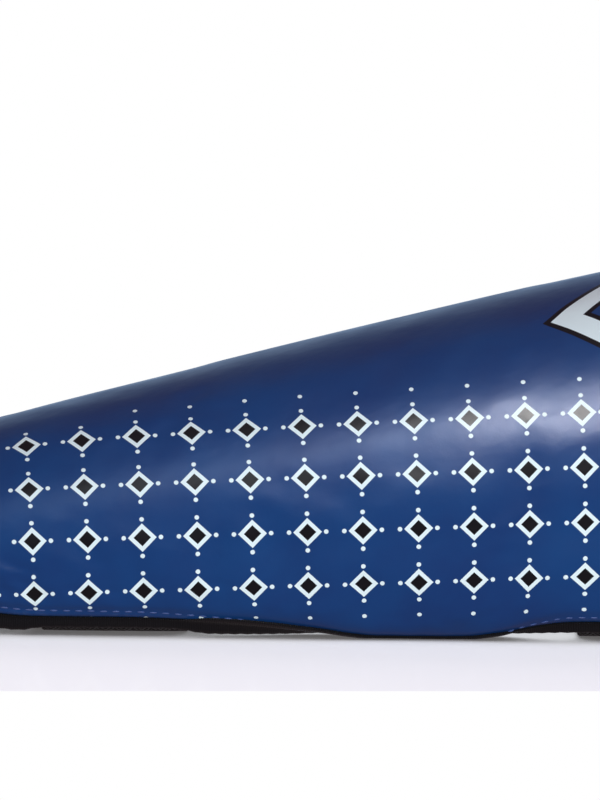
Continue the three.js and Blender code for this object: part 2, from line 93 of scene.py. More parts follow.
SHIN_SECTIONS = [
    dict(at=0.0, width=0.57, height=0.275, widest=0.16),
    dict(at=0.05, width=0.59, height=0.34, widest=0.2),
    dict(at=0.14, width=0.63, height=0.434, widest=0.245),
    dict(at=0.34, width=0.735, height=0.588, widest=0.31),
    dict(at=0.53, width=0.835, height=0.726, widest=0.36),
    dict(at=0.73, width=0.92, height=0.862, widest=0.4),
    dict(at=0.9, width=0.98, height=0.962, widest=0.42),
    dict(at=1.0, width=1.0, height=1.0, widest=0.43),
]
SHIN_EDGE = [
    dict(at=0.0, curl=10, belly=0),
    dict(at=0.27, curl=12, belly=0),
    dict(at=0.36, curl=26, belly=0.4),
    dict(at=0.44, curl=48, belly=0.8),
    dict(at=0.51, curl=66, belly=1),
    dict(at=0.58, curl=68, belly=1),
    dict(at=0.63, curl=54, belly=0.95),
    dict(at=0.67, curl=30, belly=0.5),
    dict(at=0.705, curl=14, belly=0),
    dict(at=1.0, curl=12, belly=0),
]
BELLY_ROUNDING_SHARE = 0.42
INSTEP_SECTIONS = [
    dict(at=0.0, width=0.7, arch=0.0, depth=0.62),
    dict(at=0.15, width=0.76, arch=0.35, depth=0.78),
    dict(at=0.45, width=0.9, arch=0.95, depth=1.0),
    dict(at=0.75, width=1.0, arch=0.9, depth=0.96),
    dict(at=1.0, width=0.97, arch=0.2, depth=0.84),
]
INSTEP_CURL = math.radians(16)
INSTEP_WIDEST_SHARE = 0.6
CORNERS = dict(
    shin_ankle=dict(run=66, left=0.5),
    shin_knee=dict(run=50, left=0.66),
    instep_ankle=dict(run=24, left=0.62),
    instep_toe=dict(run=62, left=0.3),
)
GUARD_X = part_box("lower_strap")[1][0] / MM - (CALF["lower"] + CALF["width"] / 2)
print("ankle edge of the shin shell at x =", round(GUARD_X, 2), "mm")

# %% [markdown]
# Between the rows of a table the shape has to glide without a wobble. A monotone cubic does that: its slope
# at each row is the harmonic mean of the slopes on both sides, so it never runs past a row's value.

# %% Reading a table smoothly
def read(table, column, share):
    at = np.array([row["at"] for row in table])
    value = np.array([row[column] for row in table], dtype=float)
    slope = np.diff(value) / np.diff(at)
    product = slope[:-1] * slope[1:]
    total = np.where(product > 0, slope[:-1] + slope[1:], 1)
    lean = np.concatenate([slope[:1], np.where(product > 0, 2 * product / total, 0), slope[-1:]])
    share = np.clip(share, 0, 1)
    i = np.clip(np.searchsorted(at, share) - 1, 0, len(at) - 2)
    width = at[i + 1] - at[i]
    t = (share - at[i]) / width
    rise = t * t * (3 - 2 * t)
    glide = width * t * (1 - t) * ((1 - t) * lean[i] - t * lean[i + 1])
    return value[i] + (value[i + 1] - value[i]) * rise + glide


def swell(distance, rounding):
    return np.sqrt(1 - (1 - np.clip(distance / rounding, 0, 1)) ** 2)


def smooth(value, start, end):
    t = np.clip((value - start) / (end - start), 0, 1)
    return t * t * (3 - 2 * t)


for strap in ("lower", "upper"):
    ridge_there = read(SHIN_SECTIONS, "height", CALF[strap] / SHIN["length"]) * SHIN["height"]
    print("leg side of the ridge over the", strap, "strap", round(float(ridge_there), 1), "mm up")

# %% [markdown]
# Each cross section is a quarter of an oval on top and a side wall that curls in at its foot. The wall's
# length is found by a few rounds of correction, so that the padding, or its edge tape, just reaches the
# height it rests at: on the floor between the straps, and one strap's thickness higher beside them.

# %% The outline of one section
OVAL_STEPS = 60
WALL_STEPS = 48
OVAL_POWER = 0.93
CURL_POWER = 2.6
CORRECTIONS = 12


def wall_steps(curl):
    lean = curl * ((np.arange(WALL_STEPS) + 0.5) / WALL_STEPS) ** CURL_POWER
    inward = np.concatenate([[0], np.cumsum(np.sin(lean))]) / WALL_STEPS
    down = np.concatenate([[0], np.cumsum(np.cos(lean))]) / WALL_STEPS
    return inward, down, np.concatenate([[0], lean])


def wall_length_to(floor, widest, curl, pad, rounding):
    _, down, lean = wall_steps(curl)
    left = 1 - np.arange(WALL_STEPS + 1) / WALL_STEPS
    length = (widest - floor) / down[-1]
    for _ in range(CORRECTIONS):
        thickness = EDGE_THICKNESS + (pad - EDGE_THICKNESS) * swell(left * length, rounding)
        pad_low = (widest - down * length - thickness * np.sin(lean)).min()
        tape_low = widest - down[-1] * length - BINDING["height"] * math.cos(curl)
        tape_low -= (EDGE_THICKNESS + BINDING["proud"]) * math.sin(curl)
        length += (min(tape_low, pad_low) - floor) / down[-1]
    return length


def outline(half_width, ridge, widest, curl, wall):
    t = np.linspace(0, math.pi / 2, OVAL_STEPS + 1)
    inward, down, _ = wall_steps(curl)
    top = widest + (ridge - widest) * np.clip(np.cos(t), 0, 1) ** OVAL_POWER
    y = np.concatenate([half_width * np.sin(t) ** OVAL_POWER, half_width - inward[1:] * wall])
    return y, np.concatenate([top, widest - down[1:] * wall])


def shin_section(x):
    share = x / SHIN["length"]
    widest = SHIN["height"] * read(SHIN_SECTIONS, "widest", share)
    curl = math.radians(read(SHIN_EDGE, "curl", share))
    belly = read(SHIN_EDGE, "belly", share)
    floor = (STRAP_THICKNESS + SEAM_GAP) * (1 - belly) + FLOOR_GAP * belly
    rounding = PAD_ROUNDING * (1 + (BELLY_ROUNDING_SHARE - 1) * belly)
    half_width = SHIN["half_width"] * read(SHIN_SECTIONS, "width", share)
    ridge = SHIN["height"] * read(SHIN_SECTIONS, "height", share)
    wall = wall_length_to(floor, widest, curl, SHIN["pad_wing"], rounding)
    return outline(half_width, ridge, widest, curl, wall), rounding


def instep_section(x):
    share = -x / INSTEP["length"]
    ridge = INSTEP["arch"] * read(INSTEP_SECTIONS, "arch", share)
    depth = INSTEP["depth"] * read(INSTEP_SECTIONS, "depth", share)
    half_width = INSTEP["half_width"] * read(INSTEP_SECTIONS, "width", share)
    widest = ridge - depth * INSTEP_WIDEST_SHARE
    wall = depth * (1 - INSTEP_WIDEST_SHARE) / wall_steps(INSTEP_CURL)[1][-1]
    return outline(half_width, ridge, widest, INSTEP_CURL, wall), PAD_ROUNDING


(knee_y, knee_z), _ = shin_section(SHIN["length"])
print("leg side at the knee", round(2 * knee_y.max()), "mm wide,", round(knee_z.max()), "mm high")

# %% [markdown]
# A panel knows every point on the leg side of its shell by two numbers: x along the leg and a round it from
# the ridge. Sampling the sections once into a grid, and then blending between samples, makes it quick to ask
# for thousands of points, and the same grid gives the direction that faces away from the leg.

# %% A panel that wraps round the leg
SAMPLE = 2.0
BEYOND_EDGE = 6
RIM_SAMPLES = 240
WING_BLEND = dict(start=0.2, end=0.74)


def unit(vectors):
    return vectors / np.linalg.norm(vectors, axis=-1, keepdims=True)


class Panel:
    def __init__(self, low, high, section, corners, pad, to_guard):
        self.low, self.high, self.corners, self.pad, self.to_guard = low, high, corners, pad, to_guard
        self.xs = np.linspace(low, high, int((high - low) / SAMPLE) + 1)
        made = [section(x) for x in self.xs]
        arcs = [np.concatenate([[0], np.cumsum(np.hypot(np.diff(y), np.diff(z)))]) for (y, z), _ in made]
        self.arcs = np.array([arc[-1] for arc in arcs])
        self.roundings = np.array([rounding for _, rounding in made])
        self.reach = np.arange(0, self.arcs.max() + BEYOND_EDGE, 1.0)
        y, z = [], []
        for ((ys, zs), _), arc in zip(made, arcs):
            beyond = np.clip(self.reach - arc[-1], 0, None) / (arc[-1] - arc[-2])
            y.append(np.interp(self.reach, arc, ys) + beyond * (ys[-1] - ys[-2]))
            z.append(np.interp(self.reach, arc, zs) + beyond * (zs[-1] - zs[-2]))
        y, z = np.array(y), np.array(z)
        yx, ya = np.gradient(y, self.xs, self.reach)
        zx, za = np.gradient(z, self.xs, self.reach)
        ya[:, 0], za[:, 0], yx[:, 0] = 1, 0, 0
        normal = unit(np.stack([yx * za - zx * ya, -za, ya], axis=-1))
        self.samples = np.concatenate([np.stack([y, z], axis=-1), normal], axis=-1)
        x_rim = np.linspace(low, high, RIM_SAMPLES)
        side = np.stack([x_rim, self.edge_at(x_rim)], axis=-1)
        self.rim = np.concatenate([[[low, 0]], side, [[high, 0]]])

    def edge_at(self, x):
        share = 1
        for corner, from_end in zip(self.corners, (x - self.low, self.high - x)):
            turned = np.sqrt(1 - (1 - np.clip(from_end / corner["run"], 0, 1)) ** 2)
            share = share * (corner["left"] + (1 - corner["left"]) * turned)
        return np.interp(x, self.xs, self.arcs) * share

    def look_up(self, x, a):
        i = np.clip((x - self.low) / (self.xs[1] - self.xs[0]), 0, len(self.xs) - 1)
        j = np.clip(np.abs(a), 0, self.reach[-1])
        i0 = np.minimum(i.astype(int), len(self.xs) - 2)
        j0 = np.minimum(j.astype(int), len(self.reach) - 2)
        fi, fj = (i - i0)[..., None], (j - j0)[..., None]
        s = self.samples
        near = s[i0, j0] * (1 - fj) + s[i0, j0 + 1] * fj
        far = s[i0 + 1, j0] * (1 - fj) + s[i0 + 1, j0 + 1] * fj
        return near * (1 - fi) + far * fi

    def over(self, x, a, lift):
        """Points lifted off the leg side, in the guard's frame, in millimetres."""
        x, a, lift = np.broadcast_arrays(*(np.asarray(value, float) for value in (x, a, lift)))
        found = self.look_up(x, a)
        side = np.where(a < 0, -1.0, 1.0)
        normal = unit(found[..., 2:])
        point = np.stack([x, found[..., 0] * side, found[..., 1]], axis=-1)
        point[..., 0] += normal[..., 0] * lift
        point[..., 1] += normal[..., 1] * side * lift
        point[..., 2] += normal[..., 2] * lift
        return self.to_guard(point)

    def outward(self, x, a):
        return self.over(x, a, 1.0) - self.over(x, a, 0.0)

    def from_edge(self, x, a):
        points = np.stack([x, np.abs(a)], axis=-1)[..., None, :]
        start, end = self.rim[:-1], self.rim[1:]
        run = end - start
        t = np.clip(((points - start) * run).sum(-1) / np.maximum((run * run).sum(-1), 1e-9), 0, 1)
        return np.linalg.norm(points - start - t[..., None] * run, axis=-1).min(-1)

    def thickness(self, x, a):
        front, wing = self.pad(x)
        turn = np.abs(a) / np.interp(x, self.xs, self.arcs)
        full = front + (wing - front) * smooth(turn, WING_BLEND["start"], WING_BLEND["end"])
        rounding = np.interp(x, self.xs, self.roundings)
        return EDGE_THICKNESS + (full - EDGE_THICKNESS) * swell(self.from_edge(x, a), rounding)


def shin_to_guard(point):
    return point + np.array([GUARD_X, 0, 0])


def shin_pad_at(x):
    front = SHIN["pad_ankle"] + (SHIN["pad_knee"] - SHIN["pad_ankle"]) * x / SHIN["length"]
    return front, SHIN["pad_wing"]


shin_corners = CORNERS["shin_ankle"], CORNERS["shin_knee"]
shin = Panel(0, SHIN["length"], shin_section, shin_corners, shin_pad_at, shin_to_guard)
ANKLE_RIDGE = shin.samples[0, 0, 1]


def instep_to_guard(point):
    turn = math.radians(INSTEP["rise"])
    x, y, z = point[..., 0], point[..., 1], point[..., 2]
    level = x * math.cos(turn) + z * math.sin(turn)
    up = z * math.cos(turn) - x * math.sin(turn)
    return np.stack([level, y, up], -1) + np.array([GUARD_X - INSTEP["gap"], 0, ANKLE_RIDGE])


def instep_pad_at(_):
    return INSTEP["pad_front"], INSTEP["pad_wing"]


instep_corners = CORNERS["instep_toe"], CORNERS["instep_ankle"]
instep = Panel(-INSTEP["length"], 0, instep_section, instep_corners, instep_pad_at, instep_to_guard)
print("half round the shin shell", shin.arcs.min().round(), "to", shin.arcs.max().round(), "mm")

# %% [markdown]
# Most pieces here are a grid of points on each side of a wall, closed along its edges. One helper turns such
# a pair of grids into a mesh and keeps a pair of flat coordinates for every point, so that grain, weave and
# print later lie on the cloth as if it had been drawn on before sewing.

# %% From grids of points to a mesh
FLAT_UNIT = 100
CROWDED = dict(rows=0.13, columns=0.09)


def new_object(name, points, faces, layers):
    mesh = bpy.data.meshes.new(name)
    mesh.from_pydata((np.asarray(points) * MM).tolist(), [], faces)
    corner_points = np.empty(len(mesh.loops), dtype=np.int64)
    mesh.loops.foreach_get("vertex_index", corner_points)
    for layer, flat in layers.items():
        uv = mesh.uv_layers.new(name=layer)
        uv.data.foreach_set("uv", (np.asarray(flat)[corner_points] / FLAT_UNIT).astype(np.float32).ravel())
    mesh.polygons.foreach_set("use_smooth", [True] * len(mesh.polygons))
    mesh.update()
    obj = bpy.data.objects.new(name, mesh)
    bpy.context.collection.objects.link(obj)
    return obj


def points_of(mesh):
    """The points of a mesh in millimetres, one row for each."""
    points = np.empty(len(mesh.vertices) * 3)
    mesh.vertices.foreach_get("co", points)
    return points.reshape(-1, 3) / MM


def quads(a, b, c, d):
    return np.stack([a.ravel(), b.ravel(), c.ravel(), d.ravel()], axis=-1).tolist()


def wall_faces(rows, columns):
    top = np.arange(rows * columns).reshape(rows, columns)
    under = top + rows * columns
    faces = quads(top[:-1, :-1], top[1:, :-1], top[1:, 1:], top[:-1, 1:])
    faces += quads(under[:-1, :-1], under[:-1, 1:], under[1:, 1:], under[1:, :-1])
    faces += quads(top[:-1, 0], under[:-1, 0], under[1:, 0], top[1:, 0])
    faces += quads(top[:-1, -1], top[1:, -1], under[1:, -1], under[:-1, -1])
    faces += quads(top[0, :-1], top[0, 1:], under[0, 1:], under[0, :-1])
    faces += quads(top[-1, :-1], under[-1, :-1], under[-1, 1:], top[-1, 1:])
    return faces


def wall(name, outer, inner, layers):
    rows, columns = outer.shape[:2]
    points = np.concatenate([outer.reshape(-1, 3), inner.reshape(-1, 3)])
    doubled = {layer: np.concatenate([flat.reshape(-1, 2)] * 2) for layer, flat in layers.items()}
    return new_object(name, points, wall_faces(rows, columns), doubled)


def panel_places(panel, rows, columns):
    """x and a at the points of a grid that is finer towards the edges of the panel."""
    t = np.linspace(0, 1, rows)
    t = t - CROWDED["rows"] * np.sin(2 * math.pi * t) / (2 * math.pi) * 4
    u = np.linspace(-1, 1, columns)
    u = u + CROWDED["columns"] * np.sin(math.pi * u)
    x, u = np.meshgrid(panel.low + (panel.high - panel.low) * t, u, indexing="ij")
    return x, u * panel.edge_at(x)


print("one unit of a flat coordinate is", FLAT_UNIT, "mm of cloth")

# %% [markdown]
# The blue cover is synthetic leather pulled tight over foam. Its outer face swells from the sewn edge, and a
# line of topstitching near that edge pulls it down into a shallow groove with small puckers beside it. All
# of this is one number for each point of the panel: how far the leather stands off the leg side.

# %% The face of the cover
GROOVE = dict(distance=2.8, depth=0.75, width=1.1)
PUCKER = dict(distance=6.5, depth=0.16, width=3.2)
PULLS = [dict(size=1.0, along=0.62, over=0.4, start=0.0), dict(size=0.7, along=0.97, over=-0.3, start=1.3)]


def beside_edge(distance, form):
    return form["depth"] * np.exp(-(((distance - form["distance"]) / form["width"]) ** 2))


def face_lift(panel, x, a):
    distance = panel.from_edge(x, a)
    pull = sum(p["size"] * np.sin(p["along"] * x + p["over"] * a + p["start"]) for p in PULLS)
    return panel.thickness(x, a) - beside_edge(distance, GROOVE) + beside_edge(distance, PUCKER) * pull


middle_lift = face_lift(shin, np.array([SHIN["length"] / 2]), np.array([0.0]))[0]
print("cover over the middle of the ridge stands", round(middle_lift, 1), "mm off the leg side")

# %% [markdown]
# The print was made while the leather was flat, so it needs flat coordinates. One layer measures along the
# leg and up from a level near the floor, which keeps the lattice level on both wings. The other measures
# along the leg and round from the ridge, for the large lozenges and the grain. Both are lengths over the
# finished face.

# %% Flat coordinates of the leather
PRINT_LEVEL = 20


def walked_over(points, axis):
    """Length walked over a face from the middle row or column, with its sign."""
    steps = np.linalg.norm(np.diff(points, axis=axis), axis=-1)
    start = np.zeros_like(np.take(steps, [0], axis=axis))
    walked = np.concatenate([start, np.cumsum(steps, axis=axis)], axis=axis)
    return walked - np.take(walked, [points.shape[axis] // 2], axis=axis)


def flat_coordinates(panel, outer, x, a):
    lift = np.stack([x, face_lift(panel, x, a)], axis=-1)
    along = x[x.shape[0] // 2] + walked_over(lift, 0)
    from_ridge = walked_over(outer, 1)
    up = np.empty_like(from_ridge)
    middle = x.shape[1] // 2
    for row in range(len(x)):
        for side in (slice(middle, None), slice(middle, None, -1)):
            height, reach = outer[row, side, 2], np.abs(from_ridge[row, side])
            level = np.interp(-PRINT_LEVEL, -height, reach) if height[-1] < PRINT_LEVEL else reach[-1]
            up[row, side] = PRINT_LEVEL + level - reach
    return np.stack([along, up], axis=-1), np.stack([along, from_ridge], axis=-1)


print("the print is measured up from a level", PRINT_LEVEL, "mm above the floor")

# %% [markdown]
# Foam pushes leather out like air in a cushion, so the cover gets a short cloth simulation. It starts a
# little too small and is cut slightly fuller than that. It is held where it is sewn and on its leg side, and
# pressure fills it in twenty frames. The mesh is not remeshed, because the flat coordinates have to survive.
# Only the outward part of each move is kept, with a cap, so the cover meets its solid, lies flat on the floor
# and stays under the patches.

# %% Covers filled by a cloth simulation
FOAM = dict(slack=0.6, proud=0.4, under_patch=0.15, beside_patch=8, sewn=3.6, free=10.0, frames=20)
LEATHER = dict(
    quality=5,
    mass=0.2,
    tension_stiffness=12,
    compression_stiffness=12,
    bending_stiffness=0.5,
    shrink_min=-0.015,
    use_pressure=True,
    uniform_pressure_force=12.0,
    vertex_group_mass="sewn",
)
FLOOR_CLEAR = 0.15


def pull_over_foam(cover, sewn):
    """Where the points of a cover come to lie when pressure fills it."""
    group = cover.vertex_groups.new(name="sewn")
    for weight in np.unique(np.round(sewn, 1)):
        group.add(np.flatnonzero(np.round(sewn, 1) == weight).tolist(), float(weight), "REPLACE")
    cloth = cover.modifiers.new("foam", "CLOTH")
    for setting, value in LEATHER.items():
        setattr(cloth.settings, setting, value)
    cloth.settings.effector_weights.gravity = 0
    cloth.collision_settings.use_collision = False
    cloth.collision_settings.use_self_collision = False
    for frame_number in range(1, FOAM["frames"] + 1):
        bpy.context.scene.frame_set(frame_number)
    points = points_of(cover.evaluated_get(bpy.context.evaluated_depsgraph_get()).data)
    cover.modifiers.remove(cloth)
    cover.vertex_groups.remove(group)
    bpy.context.scene.frame_set(1)
    return points


def cap_over_solid(x, a, freedom, straps):
    """How far the leather may stand off its solid, which is less where a patch lies on it."""
    proud = FOAM["proud"] * freedom
    for middle in straps:
        under = (np.abs(x - middle) < CALF["width"] / 2 + FOAM["beside_patch"]) & (a > 0)
        proud = np.where(under, FOAM["under_patch"] * freedom, proud)
    return proud


def padded_cover(name, panel, rows, columns, straps=()):
    x, a = panel_places(panel, rows, columns)
    lift = face_lift(panel, x, a)
    inner = panel.over(x, a, LINING + SEAM_GAP)
    outer = panel.over(x, a, lift)
    rise, front = flat_coordinates(panel, outer, x, a)
    distance = panel.from_edge(x, a)
    edge = np.stack([distance, a], axis=-1)
    freedom = smooth(distance, FOAM["sewn"], FOAM["free"])
    slack = FOAM["slack"] * freedom
    start = panel.over(x, a, lift - slack)
    cover = wall(name, start, inner, {"rise": rise, "front": front, "edge": edge})
    sewn = np.concatenate([(1 - freedom).ravel(), np.ones(x.size)])
    moved = pull_over_foam(cover, sewn)[:x.size].reshape(x.shape + (3,)) - start
    outward = panel.outward(x, a)
    gain = np.clip((moved * outward).sum(-1), 0, slack + cap_over_solid(x, a, freedom, straps))
    final = start + outward * gain[..., None]
    final[..., 2] = np.maximum(final[..., 2], np.minimum(FLOOR_CLEAR, outer[..., 2]))
    cover.data.vertices.foreach_set("co", np.concatenate([final, inner]).ravel() * MM)
    cover.data.update()
    cover.modifiers.new("one_subdivision", "SUBSURF").levels = 1
    over_solid = (gain - slack)[freedom == 1]
    print(name, "moved out by", gain.mean().round(2), "mm on average,", gain.max().round(2), "at most")
    print("over its solid", [value.round(2) for value in (over_solid.min(), over_solid.max())], "mm")
    print(name, "faces", len(cover.data.polygons), "size", [round(size, 3) for size in cover.dimensions])
    return cover


shin_cover = padded_cover("shin_cover", shin, rows=96, columns=97, straps=(CALF["lower"], CALF["upper"]))
instep_cover = padded_cover("instep_cover", instep, rows=60, columns=65)

# %% [markdown]
# The lining is a black layer that shows in the opening. It is the same grid again, three millimetres thick,
# a little quilted so that light catches its soft hollows.

# %% The linings
QUILT = dict(depth=0.25, run=9)


def lining(name, panel, rows, columns):
    x, a = panel_places(panel, rows, columns)
    quilted = QUILT["depth"] * np.sin(x / QUILT["run"]) * np.cos(a / QUILT["run"]) + QUILT["depth"]
    outer, inner = panel.over(x, a, LINING), panel.over(x, a, quilted)
    return wall(name, outer, inner, {"edge": np.stack([x, a], axis=-1)})


shin_inside = lining("shin_inside", shin, rows=90, columns=81)
instep_inside = lining("instep_inside", instep, rows=50, columns=61)
print("lining faces", len(shin_inside.data.polygons), len(instep_inside.data.polygons))

# %% [markdown]
# Edge tape is folded over the raw edge of all the layers and sewn down. It is made as a rounded profile that
# is carried round the rim: at each step it needs the direction away from the leg and the direction out of
# the panel, which is square to the first one and to the rim. Between the straps the wings roll under and
# come down to the floor, so the tape there laps further over the leather and shows as a thin black line. On
# both sides of the lower strap it also hangs a little lower.

# %% The edge tape
TAPE = dict(step=2.2, turn_points=12, tuck=0.5, flat=0.1, seat=1.2, fuller=0.45, power=0.6, over=0.35)
TAPE_RIPPLE = dict(height=0.12, run=4.4)
TAPE_FLOOR = 0.06
TAPE_LAP_STEPS = np.array([0.1, 0.3, 0.55, 0.8, 1.0])
RIM_LINE = dict(side=900, end=200)
SHIN_TAPE = [
    dict(at=0.0, lap=0.3, drop=0),
    dict(at=0.08, lap=0.3, drop=1.6),
    dict(at=0.165, lap=0.3, drop=1.6),
    dict(at=0.19, lap=0.3, drop=0.1),
    dict(at=0.31, lap=0.4, drop=0),
    dict(at=0.35, lap=2.6, drop=2.2),
    dict(at=0.43, lap=3.6, drop=2.6),
    dict(at=0.5, lap=4.0, drop=0.2),
    dict(at=0.62, lap=4.0, drop=0),
    dict(at=0.68, lap=0.4, drop=0),
    dict(at=1.0, lap=0.3, drop=0),
]
INSTEP_TAPE = [dict(at=0.0, lap=0.3, drop=0), dict(at=1.0, lap=0.3, drop=0)]


def walked_along(line):
    """Length walked to each point of a line."""
    return np.concatenate([[0], np.cumsum(np.linalg.norm(np.diff(line, axis=0), axis=1))])


def on_line(line, walked, at):
    """The places on a line that lie a given walk from its start."""
    return np.stack([np.interp(at, walked, column) for column in line.T], -1)


def rim_places(panel, spacing):
    """Flat places at an even spacing round the rim, and the walk to each."""
    x = np.linspace(panel.low, panel.high, RIM_LINE["side"])
    edge = panel.edge_at(x)
    end = np.linspace(1, -1, RIM_LINE["end"])
    sides = [
        np.stack([x, edge], -1),
        np.stack([np.full(len(end), panel.high), end * edge[-1]], -1)[1:-1],
        np.stack([x, -edge], -1)[::-1],
        np.stack([np.full(len(end), panel.low), -end * edge[0]], -1)[1:-1],
    ]
    loop = np.concatenate(sides + [sides[0][:1]])
    walked = walked_along(panel.over(loop[:, 0], loop[:, 1], LINING))
    count = int(walked[-1] / spacing)
    at = np.arange(count) * walked[-1] / count
    return on_line(loop, walked, at), at


def moved_inward(panel, flat, inset):
    """Places moved from the rim into the panel. The inset may differ from place to place."""
    tangent = np.roll(flat, -3, axis=0) - np.roll(flat, 3, axis=0)
    inward = unit(np.stack([tangent[:, 1], -tangent[:, 0]], -1))
    moved = flat + inward * np.broadcast_to(inset, len(flat))[:, None]
    moved[:, 0] = np.clip(moved[:, 0], panel.low + inset, panel.high - inset)
    return moved


def tape_profile(at, drop):
    """How far the folded tape lies off the leg side and past the rim, at each place of the rim."""
    low, high = -BINDING["proud"], EDGE_THICKNESS + BINDING["proud"]
    turn = np.linspace(0, math.pi, TAPE["turn_points"])
    flatter = 1 - TAPE["flat"] + TAPE["flat"] * np.abs(np.cos(turn))
    round_edge = (low + high) / 2 - (high - low) / 2 * np.cos(turn) * flatter
    bulge = (BINDING["height"] + TAPE["fuller"] - TAPE["seat"]) * np.sin(turn) ** TAPE["power"]
    past_rim = np.concatenate([[BINDING["gap"]], TAPE["seat"] + bulge])
    ripple = TAPE_RIPPLE["height"] * np.sin(at * 2 * math.pi / TAPE_RIPPLE["run"])
    fullness = np.concatenate([[0], np.sin(turn)])
    lift = np.concatenate([[low + TAPE["tuck"]], round_edge])
    return lift, past_rim + ripple[:, None] + drop[:, None] * fullness


def tape_over_leather(panel, flat, lap):
    """Lines of tape that lap from the rim over the leather."""
    lines = []
    for step in TAPE_LAP_STEPS:
        x, a = moved_inward(panel, flat, lap * step).T
        lines.append(panel.over(x, a, panel.thickness(x, a) + TAPE["over"]))
    return np.stack(lines, 1)


def edge_tape(name, panel, table):
    flat, at = rim_places(panel, TAPE["step"])
    share = np.abs(flat[:, 0]) / (panel.high - panel.low)
    up, here = panel.outward(flat[:, 0], flat[:, 1]), panel.over(flat[:, 0], flat[:, 1], 0.0)
    off = unit(np.cross(up, np.roll(here, -2, axis=0) - np.roll(here, 2, axis=0)))
    lift, beyond = tape_profile(at, read(table, "drop", share))
    folded = here[:, None] + up[:, None] * lift[None, :, None] + off[:, None] * beyond[..., None]
    points = np.concatenate([folded, tape_over_leather(panel, flat, read(table, "lap", share))], axis=1)
    points[..., 2] = np.maximum(points[..., 2], TAPE_FLOOR)
    rows, sides = points.shape[:2]
    index = np.arange(rows * sides).reshape(rows, sides)
    following = np.roll(index, -1, axis=0)
    faces = quads(index, following, np.roll(following, -1, axis=1), np.roll(index, -1, axis=1))
    uv = np.stack(np.broadcast_arrays(at[:, None], np.arange(sides) * 1.0), -1)
    return new_object(name, points.reshape(-1, 3), faces, {"edge": uv.reshape(-1, 2)})


shin_tape = edge_tape("shin_tape", shin, SHIN_TAPE)
instep_tape = edge_tape("instep_tape", instep, INSTEP_TAPE)
print("tape faces", len(shin_tape.data.polygons), len(instep_tape.data.polygons))

# %% [markdown]
# Straps are flat webbing, so they are modelled directly and not by simulation. Each one is a line drawn in
# the leg's section and repeated across its width. The outermost lines are thinner, which gives webbing its
# soft edge.

# %% Strap shapes
STRAP_GAP = 1.1
WEBBING = STRAP_THICKNESS - 0.1
STRAP_SIDE = dict(at=[0, 0.25, 0.8], share=[0.35, 0.75, 0.97], even_lines=9, inset=3)
STRAP_POINTS = dict(calf=150, foot=110, root=7, bend=9, laid=30)
ROOT_STEP = 0.5
PATCH = dict(thickness=1.5, margin=3, share=0.62, gap=0.6)
FOOT = dict(width=38, at=74, root=24, drop=5, bend=5)


def across(middle, width):
    """Places across a strap, with the share of its thickness at each."""
    count = STRAP_SIDE["even_lines"]
    inner = np.linspace(-0.5, 0.5, count + 2)[1:-1] * (width - STRAP_SIDE["inset"])
    rim = np.array(STRAP_SIDE["at"]) - width / 2
    x = np.concatenate([rim, inner, -rim[::-1]]) + middle
    return x, np.concatenate([STRAP_SIDE["share"], np.ones(count), STRAP_SIDE["share"][::-1]])


def section_points(panel, x, a):
    """The leg side of a panel in its own section: y and z at one x."""
    return panel.look_up(np.full(len(a), float(x)), np.asarray(a, float))[:, :2]


def root_line(panel, x, length):
    """The part of a strap that is sewn inside the wing, and the way it leaves the wing."""
    share = np.linspace(1, 0, STRAP_POINTS["root"])
    a = np.interp(x, panel.xs, panel.arcs) - share * length
    here, further = section_points(panel, x, a), section_points(panel, x, a + ROOT_STEP)
    along = unit(further - here)
    inward = STRAP_GAP + STRAP_THICKNESS / 2 + BINDING["proud"] * (1 - share)
    line = here + np.stack([along[:, 1], -along[:, 0]], -1) * inward[:, None]
    return line, unit(line[-1] - line[-2])


def bend(corner, u, v, radius):
    """An arc that rounds a corner between two directions."""
    turn = math.acos(np.clip(np.dot(u, v), -1, 1))
    start = corner - u * radius * math.tan(turn / 2)
    side = np.sign(u[0] * v[1] - u[1] * v[0])
    middle = start + np.array([-u[1], u[0]]) * side * radius
    angle = np.linspace(0, turn * side, STRAP_POINTS["bend"])
    spoke = start - middle
    y = spoke[0] * np.cos(angle) - spoke[1] * np.sin(angle)
    z = spoke[0] * np.sin(angle) + spoke[1] * np.cos(angle)
    return middle + np.stack([y, z], -1)


def meet(point, direction, level):
    return np.array([point[0] + direction[0] * (level - point[1]) / direction[1], level])


def even(line, count):
    """The same line with its points at even distances."""
    walked = walked_along(line)
    return on_line(line, walked, np.linspace(0, walked[-1], count))


def strap_from_lines(name, lines, x, share, to_guard):
    """Sweeps a section line of each x into webbing. A line is an array of y, z points."""
    outer, inner, flat = [], [], []
    for line, here, thick in zip(lines, x, share):
        along = unit(np.gradient(line, axis=0))
        side = np.stack([-along[:, 1], along[:, 0]], -1) * WEBBING / 2 * thick
        place = np.full(len(line), here)
        outer.append(to_guard(np.column_stack([place, line + side])))
        inner.append(to_guard(np.column_stack([place, line - side])))
        flat.append(np.column_stack([walked_along(line), place]))
    return wall(name, np.array(outer), np.array(inner), {"edge": np.array(flat)})


